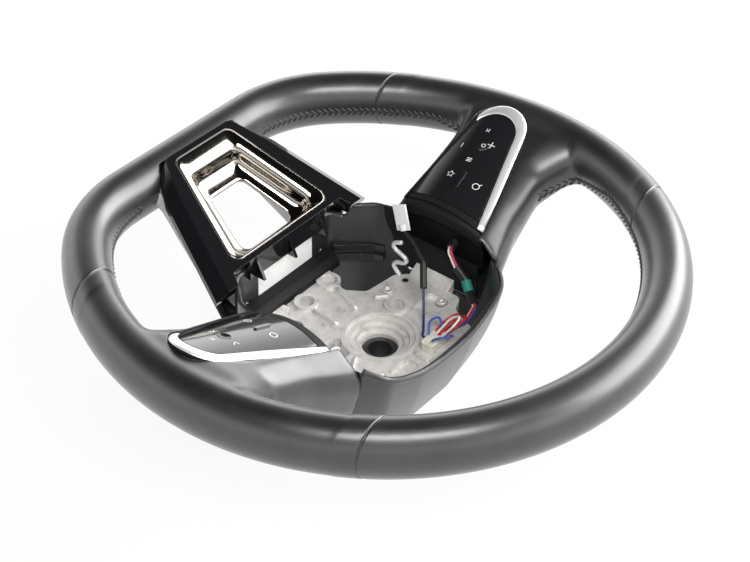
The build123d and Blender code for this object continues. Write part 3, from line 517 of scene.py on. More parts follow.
def dress_nodes():
    """Gives each CAD node its material."""
    for name, look in NODE_MATERIALS.items():
        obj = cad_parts[name]
        slots = obj.material_slots
        if not slots:
            obj.data.materials.append(MATERIALS[look])
        for place in slots:
            place.link = "OBJECT"
            place.material = MATERIALS[look]


# Leather: the skin's thickness, the grip's mesh steps, and where the spokes are smoothed more,
# as distances from the axis
SKIN = 0.96
GRIP_STEP = 3.0
GRIP_COLUMNS = 40
GRIP_VOXEL = 1.5
SOFT_FROM = 62.0
SOFT_RISE = 40.0
SOFT_TO = 182.0
SOFT_FALL = 22.0
SOFT_HALF_HEIGHT = 90.0
SMOOTH_ALL = 10
SMOOTH_SPOKES = 50


def grip_mesh():
    """Rim and padded spokes as one smooth closed form."""
    stations = rim_path(GRIP_STEP)
    turns = [2 * pi * j / GRIP_COLUMNS for j in range(GRIP_COLUMNS)]
    points = [on_section(s, turn) for s in stations for turn in turns]
    tube = solid_mesh("tube", points, grid_faces(len(stations), GRIP_COLUMNS, closed_rows=True))
    spokes = [solid_mesh("spoke", *spoke_mesh_data(side)) for side in (-1, 1)]
    obj = placed("grip", joined("grip", [tube, *spokes]))
    add_remesh(obj, "remesh", GRIP_VOXEL)
    mesh = applied(obj)
    obj = placed("grip", mesh)
    group = obj.vertex_groups.new(name="blend")
    for vertex in mesh.vertices:
        x = abs(vertex.co.x / MM)
        inner = min(1.0, max(0.0, (x - SOFT_FROM) / SOFT_RISE))
        outer = min(1.0, max(0.0, (SOFT_TO - x) / SOFT_FALL))
        near = inner * outer if abs(vertex.co.y / MM) < SOFT_HALF_HEIGHT else 0.0
        group.add([vertex.index], near, "REPLACE")
    add_smoothing(obj, "overall", SMOOTH_ALL)
    add_smoothing(obj, "local", SMOOTH_SPOKES, "blend")
    return applied(obj)


# The spokes' flat inner ends, which are taken off: how far from the axis they reach, and how squarely
# they face along x
ROOT_END = 71.0
ROOT_FACING = 0.9


def cut_grip(mesh):
    """Takes the pods' pockets and the lower frame's seat out of the leather."""
    marker = bpy.data.materials.new("cut_marker")
    mesh.materials.clear()
    mesh.materials.append(MATERIALS["leather"])
    mesh.materials.append(marker)
    obj = placed("grip", mesh)
    cutters = []
    for cutter in (pod_cutter(1), pod_cutter(-1), frame_cutter()):
        cutter.materials.append(marker)
        tool = placed("cutter", cutter)
        cutters.append(tool)
        cut = obj.modifiers.new("cut", "BOOLEAN")
        cut.operation = "DIFFERENCE"
        cut.solver = "EXACT"
        cut.material_mode = "TRANSFER"
        cut.object = tool
    skin = applied(obj)
    for tool in cutters:
        bpy.data.objects.remove(tool)
    bm = bmesh.new()
    bm.from_mesh(skin)
    marked = {i for i, m in enumerate(skin.materials) if m == marker}
    walls = [f for f in bm.faces if f.material_index in marked]
    bmesh.ops.delete(bm, geom=walls, context="FACES")
    flat = [f for f in bm.faces if abs(f.normal.x) > ROOT_FACING]
    ends = [f for f in flat if abs(f.calc_center_median().x) < ROOT_END * MM]
    bmesh.ops.delete(bm, geom=ends, context="FACES")
    for face in bm.faces:
        face.material_index = 0
    bm.to_mesh(skin)
    bm.free()
    skin.materials.clear()
    bpy.data.materials.remove(marker)
    return skin


# Seams between panels: loops cut beside each, the groove's depth and reach, how far from the rim's
# middle a seam runs, and the widths that are cut and pressed
SEAM_LOOPS = (-3.0, -1.8, -1.0, -0.6, -0.3, 0.0, 0.3, 0.6, 1.0, 1.8, 3.0)
SEAM_DEPTH = 0.9
SEAM_REACH = 0.5
SEAM_SPAN = 48.0
SEAM_CUT = 6.0
SEAM_PRESS = 4.0


def seam_frame(angle):
    """A seam's middle on the rim, and the direction across it; its outer end leans to the nearer spoke."""
    ray = Vector((cos(radians(angle)), sin(radians(angle)), 0))
    swell = LOWER_SWELL * abs(ray.x) if ray.y < 0 else 0.0
    lean = radians(SEAM_LEAN) * (-1 if ray.x * ray.y > 0 else 1)
    turned = radians(angle) + lean
    return ray * (UPPER_RADIUS + swell / 2), Vector((-sin(turned), cos(turned), 0))


def off_seam(point, middle, across):
    """Distance from a seam in millimetres, or None away from it."""
    away = point / MM - middle
    if Vector((away.x, away.y)).length > SEAM_SPAN:
        return None
    return away.dot(across)


def grooved(bm):
    """Cuts fine loops beside each seam and presses the leather in along it."""
    for angle in SEAMS.values():
        middle, across = seam_frame(angle)
        for shift in SEAM_LOOPS:
            faces = []
            for face in bm.faces:
                off = off_seam(face.calc_center_median(), middle, across)
                if off is not None and abs(off) < SEAM_CUT:
                    faces.append(face)
            edges = list({e for f in faces for e in f.edges})
            geom = edges + faces + list({v for f in faces for v in f.verts})
            place = (middle + across * shift) * MM
            bmesh.ops.bisect_plane(bm, geom=geom, dist=1e-7, plane_co=place, plane_no=across)
        bm.normal_update()
        moves = []
        for vertex in bm.verts:
            off = off_seam(vertex.co, middle, across)
            if off is not None and abs(off) < SEAM_PRESS:
                depth = SEAM_DEPTH * MM * exp(-(off / SEAM_REACH) ** 2)
                moves.append((vertex, vertex.normal * depth))
        for vertex, move in moves:
            vertex.co -= move


PANEL_ORDER = ("right", "top", "left", "bottom")


def panel_of(point):
    """The panel a point belongs to: by the seam it lies beside, or else by its angle."""
    for index, angle in enumerate(SEAMS.values()):
        middle, across = seam_frame(angle)
        off = off_seam(point, middle, across)
        if off is not None:
            return PANEL_ORDER[index] if off >= 0 else PANEL_ORDER[index - 1]
    angle = atan2(point.y, point.x) * 180 / pi
    first = SEAMS["right_lower"]
    turned = (angle - first) % 360
    starts = [(start - first) % 360 for start in SEAMS.values()]
    return PANEL_ORDER[max(i for i, start in enumerate(starts) if start <= turned)]


def leather_panels():
    skin = cut_grip(grip_mesh())
    bm = bmesh.new()
    bm.from_mesh(skin)
    grooved(bm)
    for panel in ("top", "right", "bottom", "left"):
        piece = bm.copy()
        others = [f for f in piece.faces if panel_of(f.calc_center_median()) != panel]
        bmesh.ops.delete(piece, geom=others, context="FACES")
        mesh = bpy.data.meshes.new(f"leather_{panel}_skin")
        piece.to_mesh(mesh)
        piece.free()
        solids = [f"leather_{panel}", f"foam_{panel}"]
        obj = link(f"leather_{panel}_skin", mesh, MATERIALS["leather"], "leather", stands_for=solids)
        thick = obj.modifiers.new("thickness", "SOLIDIFY")
        thick.thickness = SKIN * MM
        thick.offset = -1
    skin_tree = BVHTree.FromBMesh(bm)
    bm.free()
    return skin_tree


# Stitching along the openings' edges: the middle of each opening, the angles it runs over and how far it
# drops below the rim's mid-plane at its two ends
STITCH_RUNS = [((0, 75), -21, 201, 15, 15), ((95, -88), -125, 42, 0, 13), ((-95, -88), 138, 305, 13, 0)]
STITCH_PITCH = 4.0
STITCH_RADIUS = 0.55
STITCH_HALF = 3.4
STITCH_HEIGHT = -2.0
STITCH_DROP_SHARE = 0.09
STITCH_JUMP = 5.0
STITCH_GAP = 0.35
STITCH_LOOKS = 900


def capsule(points, faces, start, end, normal, radius):
    """Adds one thread bead: a short rounded rod that dips at both ends."""
    run = end - start
    side = run.normalized().cross(normal).normalized()
    rows = 7
    columns = 8
    first = len(points)
    for i in range(rows):
        t = i / (rows - 1)
        swell = sqrt(max(0.0, 1 - (2 * t - 1) ** 4))
        centre = start + run * t + normal * (radius * (1.1 * swell - 0.5))
        size = radius * max(0.12, swell)
        for j in range(columns):
            angle = 2 * pi * j / columns
            points.append(centre + side * (size * cos(angle)) + normal * (size * sin(angle)))
    faces += capped_grid(rows, columns, first)


def seam_stations(skin, middle, start, end, drop_start, drop_end):
    """Evenly spaced places on the leather, seen outward from the middle of an opening."""
    stations = []
    for k in range(STITCH_LOOKS + 1):
        t = k / STITCH_LOOKS
        drop = drop_start * max(0.0, 1 - t / STITCH_DROP_SHARE)
        drop += drop_end * max(0.0, 1 - (1 - t) / STITCH_DROP_SHARE)
        angle = radians(start + (end - start) * t)
        origin = Vector((*middle, RIM_Z + STITCH_HEIGHT - drop))
        place, normal, _, _ = skin.ray_cast(origin * MM, Vector((cos(angle), sin(angle), 0)))
        if place and (not stations or (place / MM - stations[-1][0]).length >= STITCH_PITCH):
            stations.append((place / MM, normal))
    return stations


def stitching(skin):
    """Two rows of slanted threads that meet over each seam."""
    points = []
    faces = []
    for run in STITCH_RUNS:
        stations = seam_stations(skin, *run)
        for (here, normal), (after, _) in zip(stations, stations[1:]):
            if (after - here).length > STITCH_JUMP:
                continue
            across = normal.cross(after - here).normalized()
            for side in (-1, 1):
                wanted = after + across * (side * STITCH_HALF)
                edge, edge_normal, _, _ = skin.find_nearest(wanted * MM)
                start = here + across * (side * STITCH_GAP)
                outward = (normal + edge_normal).normalized()
                capsule(points, faces, start, edge / MM, outward, STITCH_RADIUS)
    add_solid("rim_stitching", points, faces, "thread", "leather")


# Bright trim round each pod: how far it is drawn in on each side, and its rounded section as (share of the
# way in, height)
TRIM_INSIDE = (1.7, 7.8, 4.9)
TRIM_SECTION = [(0.0, -4.2), (0.0, -0.1), (0.04, 0.35), (0.14, 0.68), (0.32, 0.8),
                (0.68, 0.8), (0.86, 0.68), (0.96, 0.35), (1.0, -0.1), (1.0, -4.2)]
TRIM_LEG_STEPS = 16
TRIM_TIP_STEPS = 48
TRIM_BRIGHT_FROM = TRIM_LEG_STEPS + 5


def pod_trim(side, name):
    """Bright on top from the tip along the upper leg; black along the lower leg and on its flanks."""
    outer = pod_outline(leg_steps=TRIM_LEG_STEPS, tip_steps=TRIM_TIP_STEPS)
    inner = pod_outline(*TRIM_INSIDE, leg_steps=TRIM_LEG_STEPS, tip_steps=TRIM_TIP_STEPS)
    columns = len(TRIM_SECTION)
    points = []
    for a, b in zip(outer, inner):
        for share, height in TRIM_SECTION:
            p = a.lerp(b, share)
            points.append(pod_point(p.x, p.y, crown(p.y) + height, side))
    looks = [0 if row >= TRIM_BRIGHT_FROM and 1 <= column < columns - 2 else 1
             for row in range(len(outer) - 1) for column in range(columns)]
    mesh = solid_mesh(f"{name}_trim", points, capped_grid(len(outer), columns))
    link(f"{name}_trim", mesh, MATERIALS["chrome"], "bright_trim", stands_for=[f"{name}_bezel"])
    mesh.materials.append(MATERIALS["matte"])
    for face, look in zip(mesh.polygons, looks + [1, 1]):
        face.material_index = look


# Window liner: depth under the frame's face, half width at the rim and at the hub, start and end
LINER_FACE = (0.0, 25.0, 46.0, 4.0, 80.5)
LINER_THROAT = (16.0, 17.5, 27.0, 31.0, 77.0)
LINER_ROLL = 0.09
LINER_EDGE = 1.0
LINER_WALL = 2.0
LINER_LIP = 2.5
LINER_LIP_STEP = 0.6
LINER_LIP_IN = 0.3
LINER_BACK = 0.05
LINER_CORNER = 6.0
LINER_LEVELS = 28


def liner_loop(depth, shape, inset):
    """One level of the liner; shape says how far its walls have come in from the face to the throat."""
    rim, hub, start, end = (a + (b - a) * shape for a, b in zip(LINER_FACE[1:], LINER_THROAT[1:]))
    corners = [(-rim + inset, start + inset), (rim - inset, start + inset),
               (hub - inset, end - inset), (-hub + inset, end - inset)]
    outline = rounded_section(corners, [LINER_CORNER] * 4, arc_steps=8, edge_steps=16)
    return [frame_point(p.x, p.y, -depth) for p in outline]


def window_liner():
    """The dark bright funnel: nearly flat at the face, steep halfway, flat again, then a short throat."""
    deepest = LINER_THROAT[0]
    points = []
    for k in range(LINER_LEVELS + 1):
        t = k / LINER_LEVELS
        inset = LINER_EDGE + (LINER_WALL - LINER_EDGE) * t
        wave = LINER_ROLL * sin(2 * pi * t)
        points += liner_loop((deepest - LINER_LIP) * (t - wave), t + wave, inset)
    points += liner_loop(deepest - LINER_LIP + LINER_LIP_STEP, 1.0, LINER_WALL + LINER_LIP_IN)
    points += liner_loop(deepest, 1.0, LINER_WALL + LINER_LIP_IN)
    points += liner_loop(deepest, 1.0, LINER_BACK)
    points += liner_loop(0.0, 0.0, LINER_BACK)
    rows = LINER_LEVELS + 5
    faces = grid_faces(rows, len(points) // rows, closed_rows=True)
    add_solid("window_liner", points, faces, "dark_chrome", "dark_chrome", stands_for=["lower_liner"])


# Splined bush
BORE_RADIUS = 7.5
BUSH_RADIUS = 11.5
BUSH_HALF = 11.0
SPLINES = 38
SPLINE_POINTS = 4
SPLINE_DEPTH = 0.8


def splined_bush():
    columns = SPLINES * SPLINE_POINTS
    angles = [2 * pi * j / columns for j in range(columns)]
    inner = [BORE_RADIUS + (SPLINE_DEPTH if j % SPLINE_POINTS in (1, 2) else 0.0) for j in range(columns)]
    outer = [BUSH_RADIUS] * columns
    points = []
    for radii, z in ((inner, BUSH_HALF), (inner, -BUSH_HALF), (outer, -BUSH_HALF), (outer, BUSH_HALF)):
        points += [Vector((r * cos(a), r * sin(a), z)) for r, a in zip(radii, angles)]
    faces = grid_faces(4, columns, closed_rows=True)
    add_solid("splined_bush", points, faces, "steel", "bush_steel", stands_for=["hub_bush"], smooth=False)


# Spring clip by the lead, as (y, height over the rim's mid-plane)
CLIP_X = -56.0
CLIP_POINTS = [(-28, -64), (-33, -58.5), (-31, -55), (-24.5, -52.5),
               (-24, -48.5), (-32.5, -44.5), (-33, -40.5), (-27, -37.5)]
CLIP_RADIUS = 1.5


def smooth_route(points, steps):
    """A curve through points."""
    ends = [points[0], *points, points[-1]]
    route = []
    for a, b, c, d in zip(ends, ends[1:], ends[2:], ends[3:]):
        for k in range(steps):
            t = k / steps
            route.append(0.5 * (2 * b + (c - a) * t + (2 * a - 5 * b + 4 * c - d) * t ** 2
                                + (3 * b - a - 3 * c + d) * t ** 3))
    return route + [points[-1]]


def strip_along(points, faces, route, side, half_width, half_thickness):
    """Adds a flat strip with rounded edges along a route."""
    columns = 12
    first = len(points)
    for i, place in enumerate(route):
        run = (route[min(i + 1, len(route) - 1)] - route[max(i - 1, 0)]).normalized()
        thick = run.cross(side).normalized()
        for j in range(columns):
            angle = 2 * pi * j / columns
            points.append(place + side * (half_width * cos(angle)) + thick * (half_thickness * sin(angle)))
    faces += capped_grid(len(route), columns, first)


def spring_clip():
    route = smooth_route([Vector((CLIP_X, y, RIM_Z + h)) for y, h in CLIP_POINTS], steps=8)
    points = []
    faces = []
    tube_along(points, faces, route, CLIP_RADIUS)
    add_solid("spring_clip", points, faces, "clip", "clip_steel", stands_for=["retainer_clip"])


# Loose wires over the column connector, as loops of (x, y, height over the rim's mid-plane)
LOOSE_WIRES = {
    "red": [[(-19, 30, -61), (-25, 34, -54), (-34, 35, -52),
             (-36, 30, -55), (-28, 27, -58), (-18, 28, -60)],
            [(-20, 33, -61), (-27, 38, -55), (-37, 38, -54),
             (-40, 33, -57), (-31, 30, -60), (-19, 31, -61)]],
    "blue": [[(-12, 31, -60), (-9, 36, -54), (-14, 41, -53), (-21, 40, -57), (-19, 34, -60)],
             [(-14, 27, -60), (-20, 23, -54), (-27, 25, -54), (-25, 29, -59)]],
    "white": [[(-16, 33, -60), (-22, 39, -51), (-30, 38, -49), (-29, 32, -53), (-18, 29, -60)]],
}
LOOSE_RADIUS = 0.75


def tube_along(points, faces, route, radius):
    """Adds a round tube along a route."""
    columns = 10
    first = len(points)
    side = Vector((0.31, 0.2, 0.93))
    for i, place in enumerate(route):
        run = (route[min(i + 1, len(route) - 1)] - route[max(i - 1, 0)]).normalized()
        side = (side - run * side.dot(run)).normalized()
        other = run.cross(side)
        for j in range(columns):
            angle = 2 * pi * j / columns
            points.append(place + (side * cos(angle) + other * sin(angle)) * radius)
    faces += capped_grid(len(route), columns, first)


def loose_wires():
    for colour, loops in LOOSE_WIRES.items():
        points = []
        faces = []
        for loop in loops:
            route = smooth_route([Vector((x, y, RIM_Z + h)) for x, y, h in loop], steps=10)
            tube_along(points, faces, route, LOOSE_RADIUS)
        add_solid(f"loose_{colour}_wires", points, faces, f"wire_{colour}", f"wire_{colour}")


# Rolled edge of each pod's housing over the airbag well, as (distance from the hub end, height)
FLANGE_SECTION = [(0.2, -0.4), (-2.2, -0.6), (-4.2, -1.9), (-5.6, -4.6),
                  (-6.0, -9.0), (-5.0, -12.0), (0.2, -12.0)]
FLANGE_STEPS = 24


def pod_flange(side, name):
    low = Vector(POD_HUB_LOW)
    high = Vector(POD_HUB_HIGH)
    points = []
    for k in range(FLANGE_STEPS + 1):
        p = low.lerp(high, k / FLANGE_STEPS)
        points += [pod_point(p.x + u, p.y, crown(p.y) + w, side) for u, w in FLANGE_SECTION]
    faces = capped_grid(FLANGE_STEPS + 1, len(FLANGE_SECTION))
    add_solid(f"{name}_flange", points, faces, "matte", "black_plastic")


# Rolled rim along the rear cover's open edge, found by looking in at it from outside, lower and lower
BEAD_RADIUS = 2.3
BEAD_ANGLES = range(30, 150, 2)
BEAD_LOOK_FROM = 130.0
BEAD_LOOK_FAR = 90.0
BEAD_DROPS = [k / 2 for k in range(40, 140)]
BEAD_EVENING = 4
COVER_HALF_WALL = 1.6
COVER_VOXEL = 1.0
COVER_SMOOTHING = 4


def cover_bead():
    graph = bpy.context.evaluated_depsgraph_get()
    cover = BVHTree.FromObject(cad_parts["rear_cover"], graph)
    route = []
    for degrees in BEAD_ANGLES:
        out = Vector((cos(radians(degrees)), sin(radians(degrees)), 0))
        for drop in BEAD_DROPS:
            start = out * BEAD_LOOK_FROM + Vector((0, 0, RIM_Z - drop))
            place, _, _, far = cover.ray_cast(start * MM, -out)
            if place and far < BEAD_LOOK_FAR * MM:
                route.append(place / MM - out * COVER_HALF_WALL)
                break
    for _ in range(BEAD_EVENING):
        middle = [(a + b * 2 + c) / 4 for a, b, c in zip(route, route[1:], route[2:])]
        route = [route[0], *middle, route[-1]]
    points = []
    faces = []
    tube_along(points, faces, smooth_route(route, steps=2), BEAD_RADIUS)
    add_solid("cover_bead", points, faces, "cover", "cover_plastic")


def smooth_cover():
    """Rounds the moulded cover's edges and runs its faces into each other."""
    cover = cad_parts["rear_cover"]
    remesh = add_remesh(cover, "even", COVER_VOXEL)
    remesh.use_smooth_shade = True
    add_smoothing(cover, "soft", COVER_SMOOTHING)


# Ledge at the foot of the label's wall, drawn as (y, z)
LEDGE_HALF = 39.5
LEDGE_SECTION = [(-77.2, 21.9), (-64.6, 21.9), (-65.0, 26.0), (-66.6, 27.9), (-69.0, 29.4), (-77.2, 30.6)]


def wall_ledge():
    ends = [[Vector((x, y, z)) for y, z in LEDGE_SECTION] for x in (-LEDGE_HALF, LEDGE_HALF)]
    mesh = prism_mesh("wall_ledge", *ends)
    link("wall_ledge", mesh, MATERIALS["matte"], "black_plastic", smooth=False)


# Stepped ledge round each lower corner of the well: its line on the wall in plan, and its section as
# distances from the wall and heights
CORNER_LINE = [(45.0, -75.5), (51.5, -69.3), (58.0, -62.4), (63.8, -54.6), (66.6, -48.0)]
CORNER_SECTION = [(-0.8, 21.5), (6.5, 21.5), (6.2, 26.0), (3.4, 27.0), (3.0, 31.5), (-0.8, 32.5)]


def corner_ledge(side, name):
    line = [Vector(p) for p in CORNER_LINE]
    points = []
    for i, p in enumerate(line):
        run = (line[min(i + 1, len(line) - 1)] - line[max(i - 1, 0)]).normalized()
        inward = Vector((-run.y, run.x))
        for out, z in CORNER_SECTION:
            q = p + inward * out
            points.append(Vector((side * q.x, q.y, z)))
    faces = capped_grid(len(line), len(CORNER_SECTION))
    add_solid(f"{name}_corner_ledge", points, faces, "black", "black_plastic", smooth=False)


# Plain walls that close the well beside the casting's arms, as plan corners for one side and a top height
WELL_FOOT = 21.5
WELL_WALLS = [([(66.0, -50.0), (67.8, -50.4), (70.2, -36.0), (68.5, -35.6)], 61.0),
              ([(67.2, -46.0), (69.0, -46.0), (69.0, 24.0), (67.2, 24.0)], 47.0)]


def well_walls(side, name):
    walls = []
    for corners, top in WELL_WALLS:
        loops = [[Vector((side * x, y, z)) for x, y in corners] for z in (WELL_FOOT, top)]
        walls.append(prism_mesh("wall", *loops))
    mesh = joined(f"{name}_well_walls", walls)
    link(f"{name}_well_walls", mesh, MATERIALS["matte"], "black_plastic", smooth=False)


# Cast bosses and ribs on the hub plate, as (x, y, radius) and as end points
PLATE_TOP = RIM_Z - 64.0
CAST_BOSSES = [(-38.0, -24.0, 4.0), (36.0, -26.0, 4.5), (-50.0, 10.0, 3.2),
               (50.0, 12.0, 3.5), (30.0, 26.0, 3.0)]
BOSS_SECTION = [(1.0, -0.2), (0.94, 1.3), (0.86, 1.6), (0.45, 1.6), (0.38, 0.4)]
BOSS_COLUMNS = 28
CAST_RIBS = [((-19, -50), (-10, -27)), ((8, -47), (9, -27)), ((-34, -20), (-27, -26)), ((27, 2), (38, 8)),
             ((0, 27), (2, 39))]
RIB_HALF_WIDTH = 1.4
RIB_HEIGHT = 1.8
RIB_STEPS = 6


def cast_details():
    points = []
    faces = []
    for x, y, radius in CAST_BOSSES:
        first = len(points)
        for share, rise in BOSS_SECTION:
            size = radius * share
            for j in range(BOSS_COLUMNS):
                angle = 2 * pi * j / BOSS_COLUMNS
                points.append(Vector((x + size * cos(angle), y + size * sin(angle), PLATE_TOP + rise)))
        faces += capped_grid(len(BOSS_SECTION), BOSS_COLUMNS, first)
    for (x0, y0), (x1, y1) in CAST_RIBS:
        start = Vector((x0, y0, PLATE_TOP))
        end = Vector((x1, y1, PLATE_TOP))
        across = (end - start).normalized().cross(Vector((0, 0, 1)))
        route = [start.lerp(end, k / RIB_STEPS) for k in range(RIB_STEPS + 1)]
        strip_along(points, faces, route, across, RIB_HALF_WIDTH, RIB_HEIGHT)
    add_solid("cast_details", points, faces, "casting", "casting")


# Plain marks on the pads: strokes as (u, v) paths, rings and stars as (u, v, radius)
SYMBOL_LIFT = 0.06
SYMBOL_THICKNESS = 0.05
STROKE = 0.55
PAD_LINES = {
    "left": [[(50.5, -14.5), (54.5, -14.5)], [(67.2, -3.0), (69.8, -3.0)], [(67.2, -4.6), (69.8, -4.6)],
             [(55.5, 4.6), (60.5, 4.6)], [(58.0, 2.1), (58.0, 7.1)], [(41.0, -4.8), (41.0, -1.2)],
             [(42.2, -4.8), (42.2, -1.2)], [(43.4, -4.8), (43.4, -1.2)], [(26.4, 13.4), (28.0, 15.0)]],
    "right": [[(55.0, -9.5), (57.0, -7.5), (59.0, -9.5)], [(64.0, -1.2), (66.5, -1.2)],
              [(64.0, 0.6), (66.5, 0.6)], [(53.5, 9.8), (55.5, 7.8), (57.5, 9.8)],
              [(25.0, -11.0), (27.0, -11.0)]],
}
PAD_RINGS = {
    "left": [(25.0, 12.0, 2.2), (56.0, 0.0, 1.3)],
    "right": [(26.0, 10.0, 2.2), (26.0, -11.0, 2.2)],
}
PAD_STARS = {"left": [(28.0, -8.5, 2.6)], "right": []}
RING_STEPS = 24
STAR_POINTS = 5


def stroke_quads(points, faces, path, side, closed=False):
    """Adds a flat ribbon along a path of (u, v) points on a pad."""
    count = len(path)
    first = len(points)
    for i in range(count):
        before = Vector(path[i - 1] if closed or i else path[i])
        after = Vector(path[(i + 1) % count] if closed or i < count - 1 else path[i])
        run = (after - before).normalized()
        across = Vector((-run.y, run.x)) * (STROKE / 2)
        for sign in (-1, 1):
            p = Vector(path[i]) + across * sign
            points.append(pod_point(p.x, p.y, crown(p.y) + SYMBOL_LIFT, side))
    pairs = count if closed else count - 1
    for i in range(pairs):
        a = first + 2 * i
        b = first + 2 * ((i + 1) % count)
        faces.append((a, a + 1, b + 1, b))


def ring(u, v, radius):
    angles = [2 * pi * k / RING_STEPS for k in range(RING_STEPS)]
    return [(u + radius * cos(a), v + radius * sin(a)) for a in angles]


def star(u, v, radius):
    corners = []
    for k in range(2 * STAR_POINTS):
        reach = radius if k % 2 == 0 else radius / 2
        angle = pi / STAR_POINTS * k
        corners.append((u + reach * cos(angle), v + reach * sin(angle)))
    return corners


def pad_symbols(side, name):
    points = []
    faces = []
    for path in PAD_LINES[name]:
        stroke_quads(points, faces, path, side)
    loops = [ring(*mark) for mark in PAD_RINGS[name]] + [star(*mark) for mark in PAD_STARS[name]]
    for loop in loops:
        stroke_quads(points, faces, loop, side, closed=True)
    body = f"{name}_pad"
    obj = add_solid(f"{name}_symbols", points, faces, "symbol", "pad_gloss", body=body, smooth=False)
    thick = obj.modifiers.new("thickness", "SOLIDIFY")
    thick.thickness = SYMBOL_THICKNESS * MM


# Camera, fitted to the rim's outline in the photo: angles in degrees, distance and shift in millimetres
CAMERA_AZIMUTH = 127.654
CAMERA_ELEVATION = 37.909
CAMERA_ROLL = 1.106
CAMERA_DISTANCE = 1100.918
CAMERA_SHIFT = (-3.966, -16.926)
FOCAL_PIXELS = 1837.042
PHOTO_WIDTH = 750.0
SENSOR_WIDTH = 36.0

# Studio tent: heights of direction between which it fades, the share left overhead, the way to its
# brighter side, the cosines between which that side comes up, and the two strengths
TENT_LOW = 0.15
TENT_HIGH = 0.66
TENT_TOP = 0.006
TENT_BRIGHT_SIDE = (-0.94, 0.34, 0.0)
TENT_SIDE_FROM = -0.2
TENT_SIDE_FULL = 0.95
TENT_DIM = 1.5
TENT_BRIGHT = 3.2

# Floor, and lamps as place, target and size in metres and power in watts
FLOOR_HALF = 6.0
FLOOR_COLOUR = (0.86, 0.86, 0.86)
FLOOR_ROUGHNESS = 0.9
FLOOR_WHITE_SHARE = 0.92
WHITE_RAYS = ("Is Camera Ray", "Is Glossy Ray", "Is Transmission Ray")
LAMPS = {
    "key": ((0.75, 0.85, 1.45), (0, 0, 0.05), (1.2, 0.5), 26),
    "side": ((-1.65, 1.1, 1.0), (0, 0, 0.08), (3.0, 1.4), 85),
}


def camera():
    azimuth = radians(CAMERA_AZIMUTH)
    elevation = radians(CAMERA_ELEVATION)
    roll = radians(CAMERA_ROLL)
    back = Vector((sin(azimuth) * cos(elevation), -cos(azimuth) * cos(elevation), sin(elevation)))
    right = (-back).cross(Vector((0, 0, 1))).normalized()
    up = right.cross(-back)
    shift = right * CAMERA_SHIFT[0] + up * CAMERA_SHIFT[1]
    place = back * CAMERA_DISTANCE + shift + Vector((0, 0, RIM_Z))
    across = right * cos(roll) + up * sin(roll)
    above = up * cos(roll) - right * sin(roll)
    data = bpy.data.cameras.new("camera")
    data.sensor_width = SENSOR_WIDTH
    data.sensor_fit = "HORIZONTAL"
    data.lens = FOCAL_PIXELS * SENSOR_WIDTH / PHOTO_WIDTH
    data.clip_end = 20.0
    obj = placed("camera", data)
    turn = Matrix((across, above, back)).transposed().to_4x4()
    obj.matrix_world = Matrix.Translation(place * MM) @ turn
    bpy.context.scene.camera = obj


def area_light(name, place, target, size, power):
    data = bpy.data.lights.new(name, "AREA")
    data.shape = "RECTANGLE"
    data.size, data.size_y = size
    data.energy = power
    obj = placed(name, data)
    aim = (Vector(target) - Vector(place)).to_track_quat("-Z", "Y").to_matrix().to_4x4()
    obj.matrix_world = Matrix.Translation(place) @ aim


def smooth_step(tree, source, start, end, at_start, at_end):
    made = tree.nodes.new("ShaderNodeMapRange")
    made.interpolation_type = "SMOOTHSTEP"
    for name, value in (("From Min", start), ("From Max", end), ("To Min", at_start), ("To Max", at_end)):
        made.inputs[name].default_value = value
    tree.links.new(source, made.inputs["Value"])
    return made.outputs[0]


def calculated(tree, operation, first, second):
    made = tree.nodes.new("ShaderNodeMath")
    made.operation = operation
    tree.links.new(first, made.inputs[0])
    tree.links.new(second, made.inputs[1])
    return made.outputs[0]


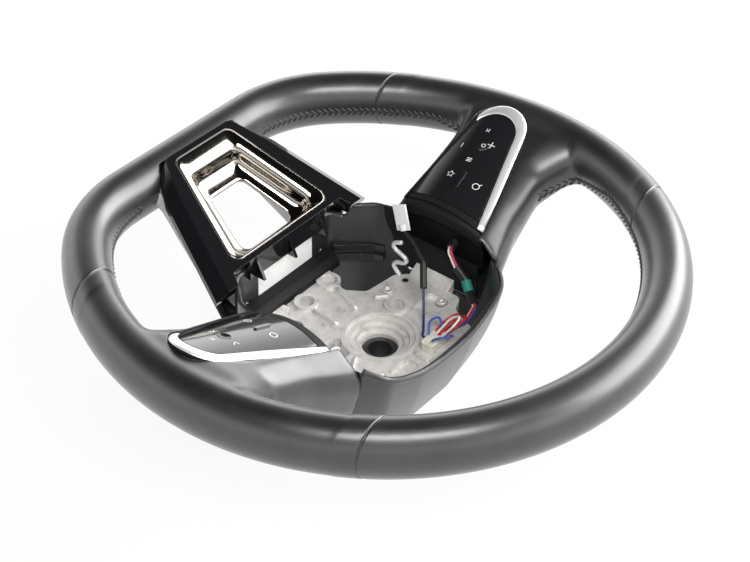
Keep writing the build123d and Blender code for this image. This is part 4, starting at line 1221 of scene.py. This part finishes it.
def tent():
    """A world that is white low down, dark overhead and brighter on one side."""
    world = bpy.data.worlds.new("studio")
    bpy.context.scene.world = world
    world.use_nodes = True
    tree = world.node_tree
    way = tree.nodes.new("ShaderNodeTexCoord").outputs["Generated"]
    parts = tree.nodes.new("ShaderNodeSeparateXYZ")
    tree.links.new(way, parts.inputs[0])
    height = smooth_step(tree, parts.outputs["Z"], TENT_LOW, TENT_HIGH, 1.0, TENT_TOP)
    facing = tree.nodes.new("ShaderNodeVectorMath")
    facing.operation = "DOT_PRODUCT"
    facing.inputs[1].default_value = TENT_BRIGHT_SIDE
    tree.links.new(way, facing.inputs[0])
    turned = facing.outputs["Value"]
    side = smooth_step(tree, turned, TENT_SIDE_FROM, TENT_SIDE_FULL, TENT_DIM, TENT_BRIGHT)
    back = tree.nodes["Background"]
    back.inputs["Color"].default_value = (1, 1, 1, 1)
    tree.links.new(calculated(tree, "MULTIPLY", height, side), back.inputs["Strength"])


def floor():
    """A pale floor that the camera and mirror rays see nearly white, with the object's shadow on it."""
    signs = ((-1, -1), (1, -1), (1, 1), (-1, 1))
    corners = [(x * FLOOR_HALF, y * FLOOR_HALF, FLOOR_Z) for x, y in signs]
    mesh = bpy.data.meshes.new("floor")
    mesh.from_pydata(corners, [], [(0, 1, 2, 3)])
    obj = placed("floor", mesh)
    mat = material("floor", FLOOR_COLOUR, FLOOR_ROUGHNESS, specular_ior_level=0.0)
    tree = mat.node_tree
    shader = tree.nodes["Principled BSDF"]
    glow = tree.nodes.new("ShaderNodeEmission")
    mix = tree.nodes.new("ShaderNodeMixShader")
    path = tree.nodes.new("ShaderNodeLightPath")
    seen = path.outputs[WHITE_RAYS[0]]
    for ray in WHITE_RAYS[1:]:
        seen = calculated(tree, "MAXIMUM", seen, path.outputs[ray])
    share = tree.nodes.new("ShaderNodeMath")
    share.operation = "MULTIPLY"
    share.inputs[1].default_value = FLOOR_WHITE_SHARE
    tree.links.new(seen, share.inputs[0])
    tree.links.new(share.outputs[0], mix.inputs[0])
    tree.links.new(shader.outputs[0], mix.inputs[1])
    tree.links.new(glow.outputs[0], mix.inputs[2])
    tree.links.new(mix.outputs[0], tree.nodes["Material Output"].inputs["Surface"])
    mesh.materials.append(mat)


def studio():
    tent()
    floor()
    for name, lamp in LAMPS.items():
        area_light(name, *lamp)


def both_sides(make):
    for side, name in ((-1, "left"), (1, "right")):
        make(side, name)


camera()
dress_nodes()
stitching(leather_panels())
both_sides(pod_trim)
window_liner()
splined_bush()
spring_clip()
cast_details()
loose_wires()
both_sides(pod_flange)
cover_bead()
smooth_cover()
wall_ledge()
both_sides(well_walls)
both_sides(corner_ledge)
both_sides(pad_symbols)
studio()
bpy.context.scene.view_settings.view_transform = "Standard"
